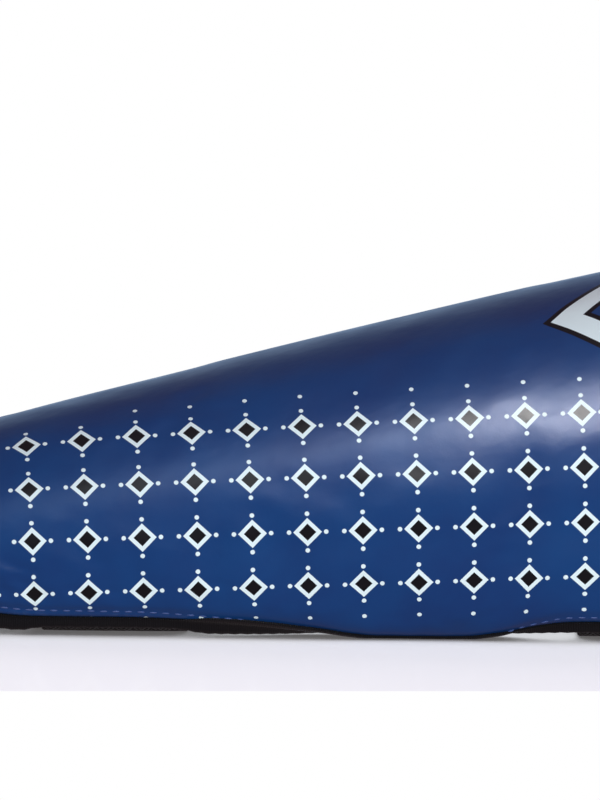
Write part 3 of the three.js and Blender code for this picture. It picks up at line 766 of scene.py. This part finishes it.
def calf_strap_line(panel, x):
    level = STRAP_THICKNESS / 2
    root, direction = root_line(panel, x, CALF["root"])
    root, down = root * [-1, 1], direction * [-1, 1]
    edge = float(panel.edge_at(np.array([x]))[0])
    end = edge * PATCH["share"] * CALF["on_patch"] + (1 - CALF["on_patch"]) * CALF["wrap"]
    a = edge - np.linspace(CALF["wrap"], end, STRAP_POINTS["laid"])
    here = np.full(len(a), float(x))
    lift = panel.thickness(here, a) + PATCH["gap"] + PATCH["thickness"] + SEAM_GAP + STRAP_THICKNESS / 2
    laid = panel.over(here, a, lift)[:, 1:]
    up, flat = unit(laid[1] - laid[0]), np.array([1.0, 0.0])
    near = bend(meet(root[-1], down, level), down, flat, CALF["bend"])
    far = bend(meet(laid[0], up, level), flat, up, CALF["bend"])
    return even(np.concatenate([root, near, far, laid]), STRAP_POINTS["calf"])


def calf_strap(name, panel, middle):
    x, share = across(middle, CALF["width"])
    return strap_from_lines(name, [calf_strap_line(panel, here) for here in x], x, share, panel.to_guard)


def foot_strap(name, panel):
    x, share = across(-FOOT["at"], FOOT["width"])
    ends = [section_points(panel, here, [np.interp(here, panel.xs, panel.arcs)])[0, 1] for here in x]
    level = min(ends) - BINDING["height"] - FOOT["drop"]
    lines = []
    for here in x:
        root, direction = root_line(panel, here, FOOT["root"])
        turn = bend(meet(root[-1], direction, level), direction, np.array([-1.0, 0.0]), FOOT["bend"])
        far = np.concatenate([root, turn])
        lines.append(even(np.concatenate([far * [-1, 1], far[::-1]]), STRAP_POINTS["foot"]))
    return strap_from_lines(name, lines, x, share, panel.to_guard)


lower_webbing = calf_strap("lower_webbing", shin, CALF["lower"])
upper_webbing = calf_strap("upper_webbing", shin, CALF["upper"])
foot_webbing = foot_strap("foot_webbing", instep)
for strap in (lower_webbing, upper_webbing, foot_webbing):
    print(strap.name, [round(size, 3) for size in strap.dimensions])

# %% [markdown]
# Each calf strap fastens on a patch of loop pile sewn to the far wing, and a strip of leather joins the two
# shells inside the ankle. All of them are thin walls laid over the panels like the cover itself.

# %% Patches and the ankle strip
PILE = dict(rows=31, columns=41, start=0.2, rim=0.45, sunk=0.4, seat=0.5)
HINGE = dict(thickness=2.5, lap=15, half_width=25, inset=1, run=6, gap=0.7, rows=40, columns=41, length=60)


def patch(name, panel, middle):
    reach = CALF["width"] / 2 + PATCH["margin"]
    x = np.linspace(middle - reach, middle + reach, PILE["rows"])[:, None]
    edge, t = panel.edge_at(x), np.linspace(1, PILE["start"], PILE["columns"])
    a = edge - (CALF["wrap"] + (edge * PATCH["share"] - CALF["wrap"]) * t)
    x = np.broadcast_to(x, a.shape)
    full = np.ones(a.shape)
    full[[0, -1]] = full[:, [0, -1]] = PILE["rim"]
    seat = panel.thickness(x, a) + PATCH["gap"]
    outer = panel.over(x, a, seat - PILE["sunk"] + PATCH["thickness"] * full)
    inner = panel.over(x, a, seat - PILE["seat"])
    return wall(name, outer, inner, {"edge": np.stack([x, a], -1)})


def through(knots, count):
    """A smooth run of lines through a few knots, whose slopes come from the knots on both sides."""
    padded = np.concatenate([[2 * knots[0] - knots[1]], knots, [2 * knots[-1] - knots[-2]]])
    made = []
    for value in np.linspace(0, 1, count) * (len(knots) - 1):
        k = min(int(value), len(knots) - 2)
        t = value - k
        before, start, end, after = padded[k:k + 4]
        squared = 2 * before - 5 * start + 4 * end - after
        cubed = 3 * start - before - 3 * end + after
        made.append(0.5 * (2 * start + (end - before) * t + squared * t ** 2 + cubed * t ** 3))
    return np.array(made)


def ankle_side(panel, sign, a, lift):
    """Lines of the ankle strip on one shell, from inside it to just past its edge."""
    places = [HINGE["lap"], HINGE["lap"] / 2, HINGE["inset"]]
    side = [panel.over(np.full(len(a), sign * x), a, lift) for x in places]
    return side + [side[2] + unit(side[2] - side[1]) * HINGE["run"]]


def ankle_strip(name):
    a = np.linspace(-HINGE["half_width"], HINGE["half_width"], HINGE["columns"])
    clear = BINDING["proud"] + HINGE["gap"]
    faces = []
    for lift in (-clear, -clear - HINGE["thickness"]):
        knots = ankle_side(instep, -1, a, lift) + ankle_side(shin, 1, a, lift)[::-1]
        faces.append(through(np.array(knots), HINGE["rows"]))
    along = np.linspace(0, HINGE["length"], HINGE["rows"])[:, None]
    return wall(name, *faces, {"edge": np.stack(np.broadcast_arrays(along, a[None, :]), -1)})


lower_pile = patch("lower_pile", shin, CALF["lower"])
upper_pile = patch("upper_pile", shin, CALF["upper"])
ankle_leather = ankle_strip("ankle_leather")
for piece in (lower_pile, upper_pile, ankle_leather):
    print(piece.name, [round(size, 3) for size in piece.dimensions])

# %% [markdown]
# Thread is what makes sewn work believable. Every stitch is a short rounded bar that dips into the cloth at
# both ends. One function walks along a line on a surface and lays them, and all the stitches of a piece
# become one mesh.

# %% Stitches
STITCH = dict(length=3.0, gap=1.2, radius=0.34)
THREAD = dict(steps=6, sides=6, bow=0.7, rise=1.1, sink=0.5, tip=0.45, lay=0.3)
TOPSTITCH_STEP = 1.5


def stitches(name, line, normals, stitch=STITCH):
    """Stitches along a line of points with their surface directions, all in millimetres."""
    walked = walked_along(line)
    count = max(int(walked[-1] / (stitch["length"] + stitch["gap"])), 1)
    starts = np.arange(count) * walked[-1] / count + stitch["gap"] / 2
    steps, sides = THREAD["steps"], THREAD["sides"]
    t = np.linspace(0, 1, steps)
    at = starts[:, None] + t * stitch["length"]
    centre, normal = on_line(line, walked, at), unit(on_line(normals, walked, at))
    side = np.cross(normal, unit(np.gradient(centre, axis=1)))
    arch = np.sin(math.pi * t) ** THREAD["bow"]
    stands = arch * stitch["radius"] * THREAD["rise"] - stitch["radius"] * THREAD["sink"]
    centre = centre + normal * stands[None, :, None]
    radius = stitch["radius"] * (THREAD["tip"] + (1 - THREAD["tip"]) * arch)
    angle = np.arange(sides) * 2 * math.pi / sides
    ring = np.cos(angle)[:, None, None, None] * side + np.sin(angle)[:, None, None, None] * normal
    points = (centre + ring * radius[None, None, :, None]).transpose(1, 2, 0, 3)
    index = np.arange(count * steps * sides).reshape(count, steps, sides)
    turned = np.roll(index, -1, axis=2)
    faces = quads(index[:, :-1], turned[:, :-1], turned[:, 1:], index[:, 1:])
    faces += index[:, 0, ::-1].tolist() + index[:, -1].tolist()
    flat = np.stack(np.broadcast_arrays(at[..., None], np.arange(sides) * THREAD["lay"]), -1)
    return new_object(name, points.reshape(-1, 3), faces, {"edge": flat.reshape(-1, 2)})


def topstitch(name, panel):
    """Stitches that follow the panel's edge at an even distance, down in the groove."""
    flat = moved_inward(panel, rim_places(panel, TOPSTITCH_STEP)[0], GROOVE["distance"])
    x, a = np.concatenate([flat, flat[:1]]).T
    return stitches(name, panel.over(x, a, face_lift(panel, x, a)), panel.outward(x, a))


shin_topstitch = topstitch("shin_topstitch", shin)
instep_topstitch = topstitch("instep_topstitch", instep)
print("stitch faces", len(shin_topstitch.data.polygons), len(instep_topstitch.data.polygons))

# %% [markdown]
# Straps and patches are held by box seams, which are rectangles of stitches a few millimetres inside their
# edges. The walls were made from grids, so a seam can simply follow rows and columns of points on one face,
# and the direction through the wall says which way the thread stands up. Rows are counted across a strap and
# columns along it.

# %% Box seams
SEAM = dict(length=2.6, gap=1.0, radius=0.26)
STRAP_ROWS = (3, 11)
PATCH_BOX = (2, 28, 2, 38)
ANKLE_ROWS = dict(instep=4, shin=35)


def seam_on(name, piece, columns, corners, face="outer", closed=True):
    """Stitches round a rectangle of grid places on one face of a wall, or along its first row.

    The corners are the first and last row and the first and last column."""
    outer, inner = points_of(piece.data).reshape(2, -1, columns, 3)
    face_points, out = (outer, outer - inner) if face == "outer" else (inner, inner - outer)
    first, last, left, right = corners
    path = [(first, j) for j in range(left, right)]
    if closed:
        path += [(i, right) for i in range(first, last)] + [(last, j) for j in range(right, left, -1)]
        path += [(i, left) for i in range(last, first, -1)] + [(first, left)]
    rows, places = np.array(path).T
    return stitches(name, face_points[rows, places], out[rows, places], SEAM)


def strap_seam(name, strap, kind, left, right, face="outer"):
    return seam_on(name, strap, STRAP_POINTS[kind], (*STRAP_ROWS, left, right), face)


def ankle_seam(name, row):
    corners = (row, row, *PATCH_BOX[2:])
    return seam_on(name, ankle_leather, HINGE["columns"], corners, "inner", closed=False)


box_seams = [
    strap_seam("lower_strap_end_seam", lower_webbing, "calf", 112, 146, "inner"),
    strap_seam("upper_strap_end_seam", upper_webbing, "calf", 118, 146, "inner"),
    strap_seam("lower_strap_root_seam", lower_webbing, "calf", 3, 22),
    strap_seam("upper_strap_root_seam", upper_webbing, "calf", 3, 18),
    strap_seam("foot_strap_near_seam", foot_webbing, "foot", 3, 13),
    strap_seam("foot_strap_far_seam", foot_webbing, "foot", 96, 106),
    seam_on("lower_patch_seam", lower_pile, PILE["columns"], PATCH_BOX),
    seam_on("upper_patch_seam", upper_pile, PILE["columns"], PATCH_BOX),
    ankle_seam("ankle_seam_on_instep", ANKLE_ROWS["instep"]),
    ankle_seam("ankle_seam_on_shin", ANKLE_ROWS["shin"]),
]
print("box seams", len(box_seams), "with faces", sum(len(seam.data.polygons) for seam in box_seams))

# %% [markdown]
# Every surface gets a material made of nodes. A small helper adds a node and sets or joins its inputs, which
# keeps the recipes short enough to read. Values that are the same all over stay on the shader itself.

# %% Material helpers
def fill_socket(tree, socket, value):
    if isinstance(value, bpy.types.NodeSocket):
        tree.links.new(value, socket)
    else:
        socket.default_value = value


def material(name, **settings):
    made = bpy.data.materials.new(name)
    made.use_nodes = True
    shader = made.node_tree.nodes["Principled BSDF"]
    for socket, value in settings.items():
        shader.inputs[socket.replace("_", " ")].default_value = value
    return made, made.node_tree, shader


def add(tree, kind, inputs, **settings):
    node = tree.nodes.new(kind)
    for key, value in settings.items():
        setattr(node, key, value)
    for key, value in inputs.items():
        fill_socket(tree, node.inputs[key], value)
    return node


def calc(tree, operation, *values, clamp=False):
    inputs = dict(enumerate(values))
    return add(tree, "ShaderNodeMath", inputs, operation=operation, use_clamp=clamp).outputs[0]


def mix(tree, factor, first, second):
    return add(tree, "ShaderNodeMix", {0: factor, 6: first, 7: second}, data_type="RGBA").outputs[2]


def flat_place(tree, layer):
    """A place on the flat cloth in millimetres, as a vector and as its two numbers."""
    uv = add(tree, "ShaderNodeUVMap", {}, uv_map=layer)
    place = add(tree, "ShaderNodeVectorMath", {0: uv.outputs[0], 3: FLAT_UNIT}, operation="SCALE").outputs[0]
    split = add(tree, "ShaderNodeSeparateXYZ", {0: place})
    return place, split.outputs[0], split.outputs[1]


def noise(tree, vector, scale, detail=3.0, roughness=0.5):
    inputs = {"Vector": vector, "Scale": scale, "Detail": detail, "Roughness": roughness}
    return add(tree, "ShaderNodeTexNoise", inputs).outputs["Fac"]


def ramp(tree, value, start, end, low=0.0, high=1.0):
    return add(tree, "ShaderNodeMapRange", {0: value, 1: start, 2: end, 3: low, 4: high}).outputs[0]


def sine(tree, value, rate):
    return calc(tree, "SINE", calc(tree, "MULTIPLY", value, rate))


def bump(tree, shader, height, strength, distance, before=None):
    inputs = {"Height": height, "Strength": strength, "Distance": distance}
    if before is not None:
        inputs["Normal"] = before
    made = add(tree, "ShaderNodeBump", inputs).outputs[0]
    tree.links.new(made, shader.inputs["Normal"])
    return made


print("materials before dressing", len(bpy.data.materials))

# %% [markdown]
# The wings carry a printed lattice of small hollow lozenges on a square grid, joined by pairs of dots. A
# print that repeats is cheapest as arithmetic: folding the flat coordinates into one cell and measuring
# distances there gives every motif at once, with edges that stay sharp at any size.

# %% The printed lattice
LATTICE = dict(pitch=18.4, tilt=0.047, base=13.6, at=221, rows=4, clear_of_ridge=24)
LOZENGE = dict(outer=4.8, inner=2.9)
DOT = dict(place=6.2, radius=0.76, past_rows=0.3)
SOFT = 0.09


def inside(tree, distance, edge, soft=SOFT):
    return ramp(tree, distance, edge + soft, edge - soft)


def between(tree, value, low, high):
    over = calc(tree, "GREATER_THAN", value, low)
    return calc(tree, "MULTIPLY", over, calc(tree, "LESS_THAN", value, high))


def folded(tree, cells):
    """Distance from the middle of a cell in millimetres, for a value counted in cells."""
    from_middle = calc(tree, "SUBTRACT", calc(tree, "FRACT", cells), 0.5)
    return calc(tree, "MULTIPLY", calc(tree, "ABSOLUTE", from_middle), LATTICE["pitch"])


def from_dot(tree, x, y):
    square = calc(tree, "POWER", calc(tree, "SUBTRACT", x, DOT["place"]), 2.0)
    return calc(tree, "SQRT", calc(tree, "ADD", square, calc(tree, "POWER", y, 2.0)))


def lattice(tree):
    """How much of the white lattice and of the lozenges' dark cores shows at a point."""
    _, along, up = flat_place(tree, "rise")
    _, _, from_ridge = flat_place(tree, "front")
    pitch, rows, past = LATTICE["pitch"], LATTICE["rows"], DOT["past_rows"]
    base = LATTICE["base"] - LATTICE["tilt"] * LATTICE["at"]
    lean = calc(tree, "MULTIPLY_ADD", along, LATTICE["tilt"], base)
    cell = calc(tree, "DIVIDE", calc(tree, "SUBTRACT", up, lean), pitch)
    x, y = folded(tree, calc(tree, "DIVIDE", along, pitch)), folded(tree, cell)
    lozenge = calc(tree, "ADD", x, y)
    core = inside(tree, lozenge, LOZENGE["inner"])
    ring = calc(tree, "SUBTRACT", inside(tree, lozenge, LOZENGE["outer"]), core)
    in_rows = between(tree, cell, 0.0, rows)
    ring, core = calc(tree, "MULTIPLY", ring, in_rows), calc(tree, "MULTIPLY", core, in_rows)
    nearest = calc(tree, "MINIMUM", from_dot(tree, x, y), from_dot(tree, y, x))
    dots = inside(tree, nearest, DOT["radius"])
    dots = calc(tree, "MULTIPLY", dots, between(tree, cell, -past, rows + past))
    white = calc(tree, "MAXIMUM", ring, dots)
    ridge_level = calc(tree, "ADD", calc(tree, "ABSOLUTE", from_ridge), up)
    row_middle = calc(tree, "ADD", calc(tree, "FLOOR", cell), 0.5)
    row_level = calc(tree, "MULTIPLY_ADD", row_middle, pitch, lean)
    room_left = calc(tree, "SUBTRACT", ridge_level, row_level)
    clear = calc(tree, "GREATER_THAN", room_left, LATTICE["clear_of_ridge"])
    return calc(tree, "MULTIPLY", white, clear), calc(tree, "MULTIPLY", core, clear)


print("lozenges", 2 * LOZENGE["outer"], "mm long, one each", LATTICE["pitch"], "mm")

# %% [markdown]
# Near the knee a guard usually shows its largest print. Here it is a plain pair of lozenges, one on each side
# of the ridge, white with a dark outline on both edges.

# %% The large lozenges
BADGE = dict(at=271, round=38, half_long=30, half_tall=29, band=0.36, line=0.09)


def badge(tree):
    """How much of the white band and of its dark outline shows at a point."""
    _, along, from_ridge = flat_place(tree, "front")
    x = calc(tree, "DIVIDE", calc(tree, "SUBTRACT", along, BADGE["at"]), BADGE["half_long"])
    reach = calc(tree, "ABSOLUTE", from_ridge)
    y = calc(tree, "DIVIDE", calc(tree, "SUBTRACT", reach, BADGE["round"]), BADGE["half_tall"])
    lozenge = calc(tree, "ADD", calc(tree, "ABSOLUTE", x), calc(tree, "ABSOLUTE", y))
    soft = SOFT / BADGE["half_tall"]
    layers = []
    for line in (0.0, BADGE["line"]):
        hole = inside(tree, lozenge, 1.0 - BADGE["band"] - line, soft)
        layers.append(calc(tree, "SUBTRACT", inside(tree, lozenge, 1.0 + line, soft), hole))
    white, dark = layers
    return white, calc(tree, "SUBTRACT", dark, white, clamp=True)


print("large lozenges", 2 * BADGE["half_long"], "by", 2 * BADGE["half_tall"], "mm")

# %% [markdown]
# The cover is smooth synthetic leather: a deep blue with a soft gloss, a very fine grain, faint clouds of
# colour, and a little rubbing beside the seam. The print sits on top of the colour and is slightly rougher
# than the leather. The instep and the ankle strip have the same leather without the print.

# %% Blue leather
BLUE = (0.0070, 0.052, 0.190, 1)
DEEP_BLUE = (0.0080, 0.040, 0.160, 1)
RUBBED_BLUE = (0.05, 0.09, 0.22, 1)
WHITE_INK = (0.80, 0.94, 0.97, 1)
BLACK_INK = (0.006, 0.006, 0.008, 1)


def blue_leather(name, printed):
    made, tree, shader = material(name, Roughness=0.36, IOR=1.5, Specular_IOR_Level=0.3)
    place, _, _ = flat_place(tree, "front")
    _, from_edge, _ = flat_place(tree, "edge")
    clouds = ramp(tree, noise(tree, place, scale=0.02, detail=4.0, roughness=0.6), 0.35, 0.65)
    colour = mix(tree, clouds, DEEP_BLUE, BLUE)
    rub = ramp(tree, from_edge, 3.2, 0.6, high=0.5)
    rub = calc(tree, "MULTIPLY", rub, ramp(tree, noise(tree, place, scale=0.5), 0.45, 0.7))
    colour = mix(tree, rub, colour, RUBBED_BLUE)
    worn = noise(tree, place, scale=0.06, detail=5.0, roughness=0.6)
    rough = ramp(tree, worn, 0.3, 0.7, low=0.33, high=0.41)
    if printed:
        ink, dark_core = lattice(tree)
        white, dark = badge(tree)
        colour = mix(tree, calc(tree, "MAXIMUM", dark, dark_core), colour, BLACK_INK)
        ink = calc(tree, "MAXIMUM", ink, white)
        colour = mix(tree, ink, colour, WHITE_INK)
        rough = calc(tree, "MULTIPLY_ADD", ink, 0.12, rough)
    tree.links.new(colour, shader.inputs["Base Color"])
    tree.links.new(rough, shader.inputs["Roughness"])
    cells = add(tree, "ShaderNodeTexVoronoi", {"Vector": place, "Scale": 1.5}, feature="SMOOTH_F1")
    fine = noise(tree, place, scale=1.1, detail=4.0)
    grain = calc(tree, "MULTIPLY_ADD", fine, 0.6, cells.outputs["Distance"])
    soft = bump(tree, shader, noise(tree, place, scale=0.055), strength=0.35, distance=0.0012)
    bump(tree, shader, grain, strength=0.10, distance=0.00012, before=soft)
    return made


printed_leather = blue_leather("printed_leather", printed=True)
plain_leather = blue_leather("plain_leather", printed=False)
print("leather nodes", len(printed_leather.node_tree.nodes), len(plain_leather.node_tree.nodes))

# %% [markdown]
# The black goods differ in texture more than in colour. Knitted lining shows rows of small loops, grosgrain
# tape shows ribs across its length, webbing shows a herringbone weave, and loop pile shows a tangle. Each
# texture is a height over the flat cloth, and painted shade makes the yarn darker in its hollows. Sewing
# thread shows the twist of its yarns, with painted shade in the grooves of the twist.

# %% Black cloths and threads
DARK_YARN = (0.0015, 0.0015, 0.002, 1)
LIT_YARN = (0.011, 0.011, 0.013, 1)


def knit_loops(tree, place, along, over):
    loop = calc(tree, "SINE", calc(tree, "MULTIPLY_ADD", over, 7.0, sine(tree, along, 5.2)))
    return calc(tree, "MULTIPLY_ADD", loop, 0.5, 0.5)


def tape_ribs(tree, place, along, over):
    return calc(tree, "ABSOLUTE", sine(tree, along, 4.2))


def herringbone(tree, place, along, over):
    slant = calc(tree, "PINGPONG", over, 3.1)
    rib = sine(tree, calc(tree, "ADD", along, slant), 4.0)
    return calc(tree, "MULTIPLY_ADD", sine(tree, over, 6.2), 0.35, rib)


def pile_tangle(tree, place, along, over):
    return noise(tree, place, scale=1.9, detail=6.0, roughness=0.75)


def black_cloth(name, weave, depth, roughness, sheen):
    shine = dict(Sheen_Weight=sheen, Sheen_Roughness=0.5, Specular_IOR_Level=0.2)
    made, tree, shader = material(name, Roughness=roughness, **shine)
    place, along, over = flat_place(tree, "edge")
    height = weave(tree, place, along, over)
    fibre = noise(tree, place, scale=3.0, detail=4.0, roughness=0.7)
    shade = calc(tree, "MULTIPLY_ADD", height, 0.35, calc(tree, "MULTIPLY", fibre, 0.5))
    # The weave's height paints the yarn lighter where it stands up and darker in its hollows, which is
    # painted shade; the fibre noise adds a random tone.
    colour = mix(tree, ramp(tree, shade, 0.0, 0.8), DARK_YARN, LIT_YARN)
    tree.links.new(colour, shader.inputs["Base Color"])
    soft = bump(tree, shader, fibre, strength=0.4, distance=0.0002)
    bump(tree, shader, height, strength=0.7, distance=depth, before=soft)
    return made


def thread_material(name, colour):
    made, tree, shader = material(name, Roughness=0.55)
    _, along, _ = flat_place(tree, "edge")
    twist = calc(tree, "ABSOLUTE", sine(tree, along, 7.0))
    # The thread is painted darker in the grooves of its twist: painted shade.
    shaded = mix(tree, twist, tuple(0.6 * c for c in colour[:3]) + (1,), colour)
    tree.links.new(shaded, shader.inputs["Base Color"])
    bump(tree, shader, twist, strength=0.6, distance=0.0001)
    return made


knit = black_cloth("knitted_lining", knit_loops, depth=0.0003, roughness=0.85, sheen=0.06)
tape_cloth = black_cloth("ribbed_tape", tape_ribs, depth=0.00022, roughness=0.6, sheen=0.02)
webbing = black_cloth("woven_webbing", herringbone, depth=0.00025, roughness=0.7, sheen=0.04)
pile = black_cloth("loop_pile", pile_tangle, depth=0.0009, roughness=0.95, sheen=0.15)
black_thread = thread_material("black_thread", (0.02, 0.02, 0.024, 1))
blue_thread = thread_material("light_blue_thread", (0.075, 0.12, 0.32, 1))
print("finishes", [finish.name for finish in (knit, tape_cloth, webbing, pile, black_thread, blue_thread)])

# %% [markdown]
# Each dressed piece stands for a solid, takes its finish and travels with the guard. Naming all of that in
# one table makes it easy to see that nothing was forgotten.

# %% Dress the guard
DRESSED = [
    (shin_cover, printed_leather, "blue_cover", "shin_pad"),
    (instep_cover, plain_leather, "blue_cover", "instep_pad"),
    (shin_inside, knit, "black_lining", "shin_lining"),
    (instep_inside, knit, "black_lining", "instep_lining"),
    (shin_tape, tape_cloth, "black_tape", "shin_binding"),
    (instep_tape, tape_cloth, "black_tape", "instep_binding"),
    (lower_webbing, webbing, "black_webbing", "lower_strap"),
    (upper_webbing, webbing, "black_webbing", "upper_strap"),
    (foot_webbing, webbing, "black_webbing", "foot_strap"),
    (lower_pile, pile, "black_webbing", "lower_patch"),
    (upper_pile, pile, "black_webbing", "upper_patch"),
    (ankle_leather, plain_leather, "blue_cover", "ankle_hinge"),
    (shin_topstitch, blue_thread, "blue_cover", None),
    (instep_topstitch, blue_thread, "blue_cover", None),
]
DRESSED += [(seam, black_thread, "black_webbing", None) for seam in box_seams]
for obj, finish, slot, node in DRESSED:
    obj.data.materials.append(finish)
    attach(obj, "root")
    if node:
        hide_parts(node)
print("pieces dressed", len(DRESSED))

# %% [markdown]
# The guard lies on a pale board that has a trace of gloss. The board ends in front of the guard and behind
# it, hidden by it, and past its edges there is only white. A light of its own keeps the board's tone even in
# every view, as a board under studio lamps is. That light fades close to the guard, by how much of the sky
# over a point is open, because it would wash out the contact shadow. The leather neither mirrors the board
# nor takes light from it, which keeps the foot of the wing a deep blue.

# %% Pale board
BOARD = dict(left=-0.9, right=0.9, front=-0.152, behind=0.42, shadow=0.09)
SHADED_GLOW = (0.10, 0.09, 0.085, 1)
OPEN_GLOW = (0.945, 0.962, 1.0, 1)


def board_finish():
    made, tree, shader = material("pale_board", Roughness=0.1, IOR=1.025, Emission_Strength=0.66)
    open_sky = add(tree, "ShaderNodeAmbientOcclusion", {"Distance": BOARD["shadow"]}, samples=12)
    # Where little sky is open, near and under the guard, the glow dims to SHADED_GLOW: a painted contact
    # shadow.
    glow = mix(tree, ramp(tree, open_sky.outputs["AO"], 0.12, 0.35), SHADED_GLOW, OPEN_GLOW)
    tree.links.new(glow, shader.inputs["Emission Color"])
    place = add(tree, "ShaderNodeTexCoord", {}).outputs["Object"]
    clouds = noise(tree, place, scale=9.0, detail=4.0, roughness=0.6)
    colour = mix(tree, clouds, (0.74, 0.745, 0.78, 1), (0.78, 0.785, 0.82, 1))
    tree.links.new(colour, shader.inputs["Base Color"])
    return made


floor_mesh = bpy.data.meshes.new("pale_board")
x0, x1, y0, y1 = (BOARD[key] for key in ("left", "right", "front", "behind"))
floor_mesh.from_pydata([(x0, y0, 0), (x1, y0, 0), (x1, y1, 0), (x0, y1, 0)], [], [(0, 1, 2, 3)])
floor = bpy.data.objects.new("pale_board", floor_mesh)
bpy.context.collection.objects.link(floor)
floor_mesh.materials.append(board_finish())
floor.visible_diffuse = False
floor.visible_glossy = False
print("board", round(x1 - x0, 2), "by", round(y1 - y0, 2), "m")

# %% [markdown]
# The gloss on the leather tells where the light is. A soft highlight runs along the upper part of the wing
# and is brightest near the right of the picture. Three soft boxes make it, each placed so that the leather
# mirrors it at the wanted spot: a small one close by for the bright spot, a larger one for the band beside
# it and a wide, bluish one for the faint tail to the left. A wide lamp low in front lights the wings, and one
# above and behind lights the board and the ridge's rim. These last two don't show in the gloss.

# %% Lamps
HIGHLIGHT_RISE = math.radians(40)
HIGHLIGHT_TURN = math.radians(10)


def soft_lamp(name, place, aim, size, power, colour=(1, 1, 1), diffuse=True, glossy=True):
    lamp = bpy.data.lights.new(name, "AREA")
    lamp.shape = "RECTANGLE"
    lamp.size, lamp.size_y = size
    lamp.energy, lamp.color = power, colour
    obj = bpy.data.objects.new(name, lamp)
    bpy.context.collection.objects.link(obj)
    obj.location = place
    obj.rotation_euler = (Vector(aim) - Vector(place)).to_track_quat("-Z", "Y").to_euler()
    obj.visible_camera, obj.visible_diffuse, obj.visible_glossy = False, diffuse, glossy
    print(name, power, "W")


def highlight(name, spot, distance, size, power, colour=(1, 1, 1)):
    """A lamp that the leather mirrors at a spot."""
    level = math.cos(HIGHLIGHT_RISE)
    left, front = math.sin(HIGHLIGHT_TURN) * level, math.cos(HIGHLIGHT_TURN) * level
    place = Vector(spot) + Vector((-left, -front, math.sin(HIGHLIGHT_RISE))) * distance
    soft_lamp(name, place, spot, size, power, colour, diffuse=False)


highlight("highlight_band", (0.135, -0.062, 0.071), 0.38, (0.17, 0.12), 0.95)
highlight("highlight_spot", (0.144, -0.062, 0.076), 0.16, (0.025, 0.045), 0.26, (1.0, 0.95, 0.92))
highlight("highlight_tail", (0.0, -0.05, 0.056), 0.8, (0.5, 0.2), 1.15, (0.75, 0.94, 1.0))
wing_place, wing_aim, wing_tint = (0.2, -1.3, 0.11), (0.1, 0.0, 0.04), (0.92, 0.98, 1.0)
soft_lamp("wing_lamp", wing_place, wing_aim, (1.2, 0.16), 15.3, wing_tint, glossy=False)
soft_lamp("board_lamp", (0.1, 0.85, 1.1), (0.05, -0.05, 0.0), (1.6, 1.0), 4.6, glossy=False)

# %% [markdown]
# Past the board the eye sees only white. What the leather mirrors is another thing: a dim room with a faint
# pink tone, stronger overhead and below, and a bright bluish white far behind the guard. The leather shows
# that last one only where the view grazes it, along the ridge. The world gives all of this by direction.

# %% White background and dim room
DIM_ROOM = (0.14, 0.12, 0.15, 1)
OVERHEAD = (0.20, 0.11, 0.14, 1)
UNDER_FOOT = (0.20, 0.13, 0.14, 1)
FAR_BEHIND = (0.66, 0.95, 1.35, 1)

world = bpy.data.worlds.new("studio")
bpy.context.scene.world = world
world.use_nodes = True
sky = world.node_tree
every_way = add(sky, "ShaderNodeTexCoord", {}).outputs["Generated"]
_, far, high = add(sky, "ShaderNodeSeparateXYZ", {0: every_way}).outputs
room_colour = mix(sky, ramp(sky, high, 0.45, 0.85), DIM_ROOM, OVERHEAD)
room_colour = mix(sky, ramp(sky, high, -0.05, -0.35), room_colour, UNDER_FOOT)
room_colour = mix(sky, ramp(sky, far, 0.87, 1.0), room_colour, FAR_BEHIND)
room = sky.nodes["Background"]
sky.links.new(room_colour, room.inputs["Color"])
white = add(sky, "ShaderNodeBackground", {"Color": (1, 1, 1, 1), "Strength": 1.0})
seen = add(sky, "ShaderNodeLightPath", {}).outputs["Is Camera Ray"]
chosen = add(sky, "ShaderNodeMixShader", {0: seen, 1: room.outputs[0], 2: white.outputs[0]})
sky.links.new(chosen.outputs[0], sky.nodes["World Output"].inputs["Surface"])
bpy.context.scene.view_settings.view_transform = "Standard"
print("world nodes", len(sky.nodes))

# %% [markdown]
# A guard that lies still touches the floor and doesn't sink into it. The lowest point of every piece shows
# which of them come down to the floor and that none goes below it.

# %% Lowest points of the pieces
for obj, *_ in DRESSED:
    print(obj.name, "lowest", round(float(points_of(obj.data)[:, 2].min()), 2), "mm")
